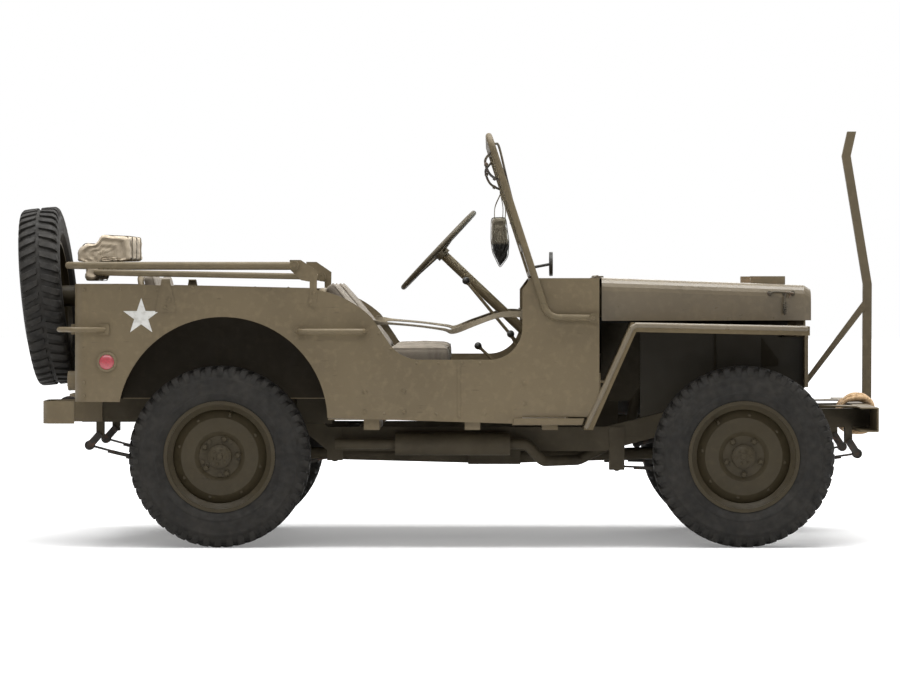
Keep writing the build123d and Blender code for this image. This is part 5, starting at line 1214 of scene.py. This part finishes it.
for y in (290, 510, 590):
    arm = [(pedal_root[0], y, pedal_root[1]), (1356, y, 577), (1338, y, 601),
           (pedal_tip[0], y, pedal_tip[1])]
    rods.append(tube_mesh(smooth_route(arm, 6), mm(7), 14))
    pad = bmesh.new()
    for count in range(7):
        size = pad_size if count == 0 else pad_bar_size
        level = 0 if count == 0 else pad_bar_pitch * (count - 3.5)
        made = bmesh.ops.create_cube(pad, size=1)["verts"]
        for vert in made:
            vert.co = Vector((mm(vert.co.x * size[0]),
                              mm(vert.co.y * size[1] + (4 if count == 0 else 9)),
                              mm(vert.co.z * size[2] + level)))
        edges = {edge for vert in made for edge in vert.link_edges}
        bmesh.ops.bevel(pad, geom=list(edges), offset=mm(2.5 if count == 0 else 1), segments=3,
                        affect="EDGES")
    treads.append(placed(mesh_from(pad, "pad"),
                         facing(at(pedal_tip[0], y, pedal_tip[1]), Vector((-0.7304, 0, 0.6831)))))
control_rods = new_piece("dressed_controls", joined("rods", rods), olive_paint, "chassis",
                         40)
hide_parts("controls")
new_piece("lever_knobs", joined("knobs", knobs), dark_paint, "chassis", 50)
new_piece("lever_boots", joined("boots", boots), tyre_rubber, "chassis", 35)
new_piece("pedal_treads", joined("treads", treads), tyre_rubber, "chassis", 35)


# Mirror: silvered glass in the round steel head beside the windshield, facing rearward.
# The head's rolled rim holds the glass.
def silvered():
    """Old silvered glass, foxed and smeared."""
    material, tree, bsdf = new_material("silvered_glass")
    foxed = blend_colors(tree, times(tree, grain(tree, 30, 8, 0.6, 0.75), 0.7),
                         (0.62, 0.64, 0.64), (0.2, 0.19, 0.17))
    tree.links.new(foxed, bsdf.inputs["Base Color"])
    bsdf.inputs["Metallic"].default_value = 1.0
    rough_between(tree, bsdf, grain(tree, 18, 6, 0.4, 0.8, seed=4.0), 0.03, 0.2)
    return material


mirror_seat = facing(at(1298.8, 735, 1105), Vector((-1, 0, 0)))
glass = lathe([(0, 1.2), (30, 0.9), (45, 0.3), (46, -0.5)], 40, "mirror_glass")
new_piece("mirror_glass", placed(glass, mirror_seat),
          silvered(), "windshield", 50)
rim = lathe([(45, -2), (45.5, 1.2), (48, 2.2), (51, 1), (51.6, -3), (51.6, -8)], 40, "mirror_rim")
new_piece("mirror_rim", placed(rim, mirror_seat),
          dark_paint, "windshield", 40)


# Body fastenings: painted hexagonal bolts and round rivets where the body bolts to its
# braces, handles and brackets, on both sides.
bolt_shape = joined("bolt", [hex_head(7, 5, 1.3),
                             lathe([(6, 1.4), (10, 1.2), (10.4, 0)], 16, "washer")])
rivet_shape = lathe([(0, 2.4), (3.5, 2.0), (5.6, 0.7), (6, 0)], 12, "rivet")
side_bolts = [
    # x, z on the body's side
    (566, 604), (566, 528), (716, 608), (716, 528), (1180, 560), (1180, 640),
    (355, 950), (368, 985), (-205, 930), (-190, 960),
    (300, 838), (326, 838), (547, 838), (573, 838),
    (-448, 838), (-432, 852),
]
side_rivets = [
    # x, z on the body's side
    (765, 715), (940, 715), (1010, 715), (850, 715), (665, 770), (620, 830),
    (-520, 1000), (-380, 1000), (-240, 1003), (-100, 1005), (60, 1005), (200, 1003),
    (-520, 590), (-520, 640), (930, 520), (1030, 520), (840, 520), (640, 520),
]
grip_bolt_lift = 3.2
first_grip_bolt = 6
fastenings = []
for side in (-1, 1):
    for shape, places, turn in ((bolt_shape, side_bolts, 11), (rivet_shape, side_rivets, 0)):
        for count, (x, z) in enumerate(places):
            on_plate = shape is bolt_shape and count >= first_grip_bolt
            place = at(x, side * (body_y + (grip_bolt_lift if on_plate else 0)), z)
            spin = Matrix.Rotation(math.radians(turn * count), 4, "Y")
            fastenings.append(placed(shape, facing(place, Vector((0, side, 0))) @ spin))
new_piece("body_fastenings", joined("fastenings", fastenings), olive_paint, "chassis",
          35)


# Apron trim: a short tail of sheet carries each fender apron back to the cowl, and a rib and
# a gusset stiffen it over the wheel. All are spot-welded, and dark partly with dirt and partly
# with painted shade.
arch_dirt_and_shade = army_paint("arch_dirt_and_shade", (0.026, 0.021, 0.013), dust=0.1, rough=(0.6, 0.8),
                        shine=0.12)


def folded_plate(corners, depth, hem):
    """A thin plate on (x, z) corners between two y, with a hem turned along its edge."""
    bm = bmesh.new()
    loops = []
    for y, inset in ((depth[0], 0), (depth[1], hem)):
        middle_x = sum(x for x, _ in corners) / len(corners)
        middle_z = sum(z for _, z in corners) / len(corners)
        loops.append([bm.verts.new(at(x + math.copysign(inset, middle_x - x), y,
                                      z + math.copysign(inset, middle_z - z)))
                      for x, z in corners])
    bridge(bm, loops)
    bm.faces.new(loops[0])
    bm.faces.new(list(reversed(loops[1])))
    bmesh.ops.recalc_face_normals(bm, faces=bm.faces)
    bmesh.ops.bevel(bm, geom=bm.edges[:], offset=mm(0.7), segments=2, affect="EDGES")
    return mesh_from(bm, "plate")


def plate_pair(name, corners, near_y, far_y, hem, material):
    """A piece of two like plates, one on each side of the car."""
    plates = [folded_plate(corners, (side * near_y, side * far_y), hem) for side in (-1, 1)]
    new_piece(name, joined(name, plates), material, "chassis", 35)


apron_tail = [(1486, 560), (1598, 560), (1660, 640), (1660, 868), (1486, 868)]
plate_pair("apron_tails", apron_tail, 366, 369.5, 0.4, arch_dirt_and_shade)
gusset = [(2116, 694), (2187, 694), (2187, 722), (2122, 806), (2116, 806)]
rib = [(1930, 640), (1942, 640), (1942, 838), (1930, 838)]
plate_pair("apron_gussets", gusset, 371.3, 377, 1.5, arch_dirt_and_shade)
plate_pair("apron_ribs", rib, 371.3, 379, 1.5, arch_dirt_and_shade)


# Body seams: a narrow strip of sheet covers the joint of the side panels under each
# doorway, spot-welded and painted over.
seam = [(921, 506), (935, 506), (935, 722), (921, 722)]
plate_pair("body_seams", seam, body_y + 0.3, body_y + 1.5, 0.6, olive_paint)


# Fender beads: the fender's outer edge is rolled over a wire, from the foot of the slope up
# over the knee to the front.
bead_radius = 11
bead_y = 726
bead_route = [(1419, 468), (1505, 654), (1584, 829), (1594, 849), (1612, 860), (1640, 861.5),
              (1900, 856), (2272, 848)]
beads = [tube_mesh(smooth_route([(x, side * bead_y, z) for x, z in bead_route], 6),
                   mm(bead_radius), 18) for side in (-1, 1)]
new_piece("fender_beads", joined("beads", beads), hood_paint, "chassis", 40)


# Hood seals: a rubber strip riveted along each apron's top edge, on which the closed hood
# rests its lower flange.
seal = [(1474, 846), (2222, 846), (2222, 878), (1474, 884)]
plate_pair("hood_seals", seal, 364, 368, 1, tyre_rubber)


# Housing skirts and sill lips: a plate closes each rear arch below the housing, and a
# folded lip runs under the cowl's foot ahead of the door. Both are welded sheet.
skirt = [(292, 474), (432, 474), (432, 566), (400, 612), (292, 612)]
# The skirts take the arches' dark paint, partly dirt and partly painted shade.
plate_pair("housing_skirts", skirt, 496, 499.5, 1, arch_dirt_and_shade)
sill_lip = [(1133, 476), (1405, 476), (1413, 503), (1140, 503)]
plate_pair("sill_lips", sill_lip, body_y + 0.4, body_y + 11, 2.5, olive_paint)


# Hood catches: a spring hook on each side pulls the hood down to the fender. Its lever
# turns on a bolted bracket on the hood's side.
# x, y of the hood's side at its rear and front edge
hood_rear = (1483, 600)
hood_front = (2285, 416)
catch_x = 2205


def hood_side_y(x):
    """Where the hood's tapering side stands at one x."""
    share = (x - hood_rear[0]) / (hood_front[0] - hood_rear[0])
    return hood_rear[1] - share * (hood_rear[1] - hood_front[1])


hood_trim = []
for side in (-1, 1):
    y = side * (hood_side_y(catch_x) + 1.5)
    hook = smooth_line([at(catch_x, y + 9 * side, 902), at(catch_x, y + 12 * side, 935),
                        at(catch_x, y + 9 * side, 968), at(2212, y + 10 * side, 985),
                        at(2226, y + 10 * side, 979), at(2222, y + 10 * side, 966)])
    hood_trim.append(tube_mesh(hook, mm(3.2), 8))
    coil = [at(catch_x + 7 * math.cos(k * 0.7), y + side * (11 + 7 * math.sin(k * 0.7)),
               904 + 1.0 * k) for k in range(46)]
    hood_trim.append(tube_mesh(coil, mm(1.6), 6))
    lever = smooth_line([at(2140, y + 6 * side, 983), at(2165, y + 12 * side, 990),
                         at(catch_x, y + 13 * side, 989), at(2240, y + 10 * side, 984)])
    hood_trim.append(tube_mesh(lever, mm(4), 8))
    for x in (2146, catch_x, 2238):
        hood_trim.append(placed(bolt_shape, facing(at(x, side * (hood_side_y(x) + 0.3), 984),
                                                   Vector((0, side, 0)))))
new_piece("hood_catches", joined("hood_catches", hood_trim), bolt_metal, "hood",
          35)
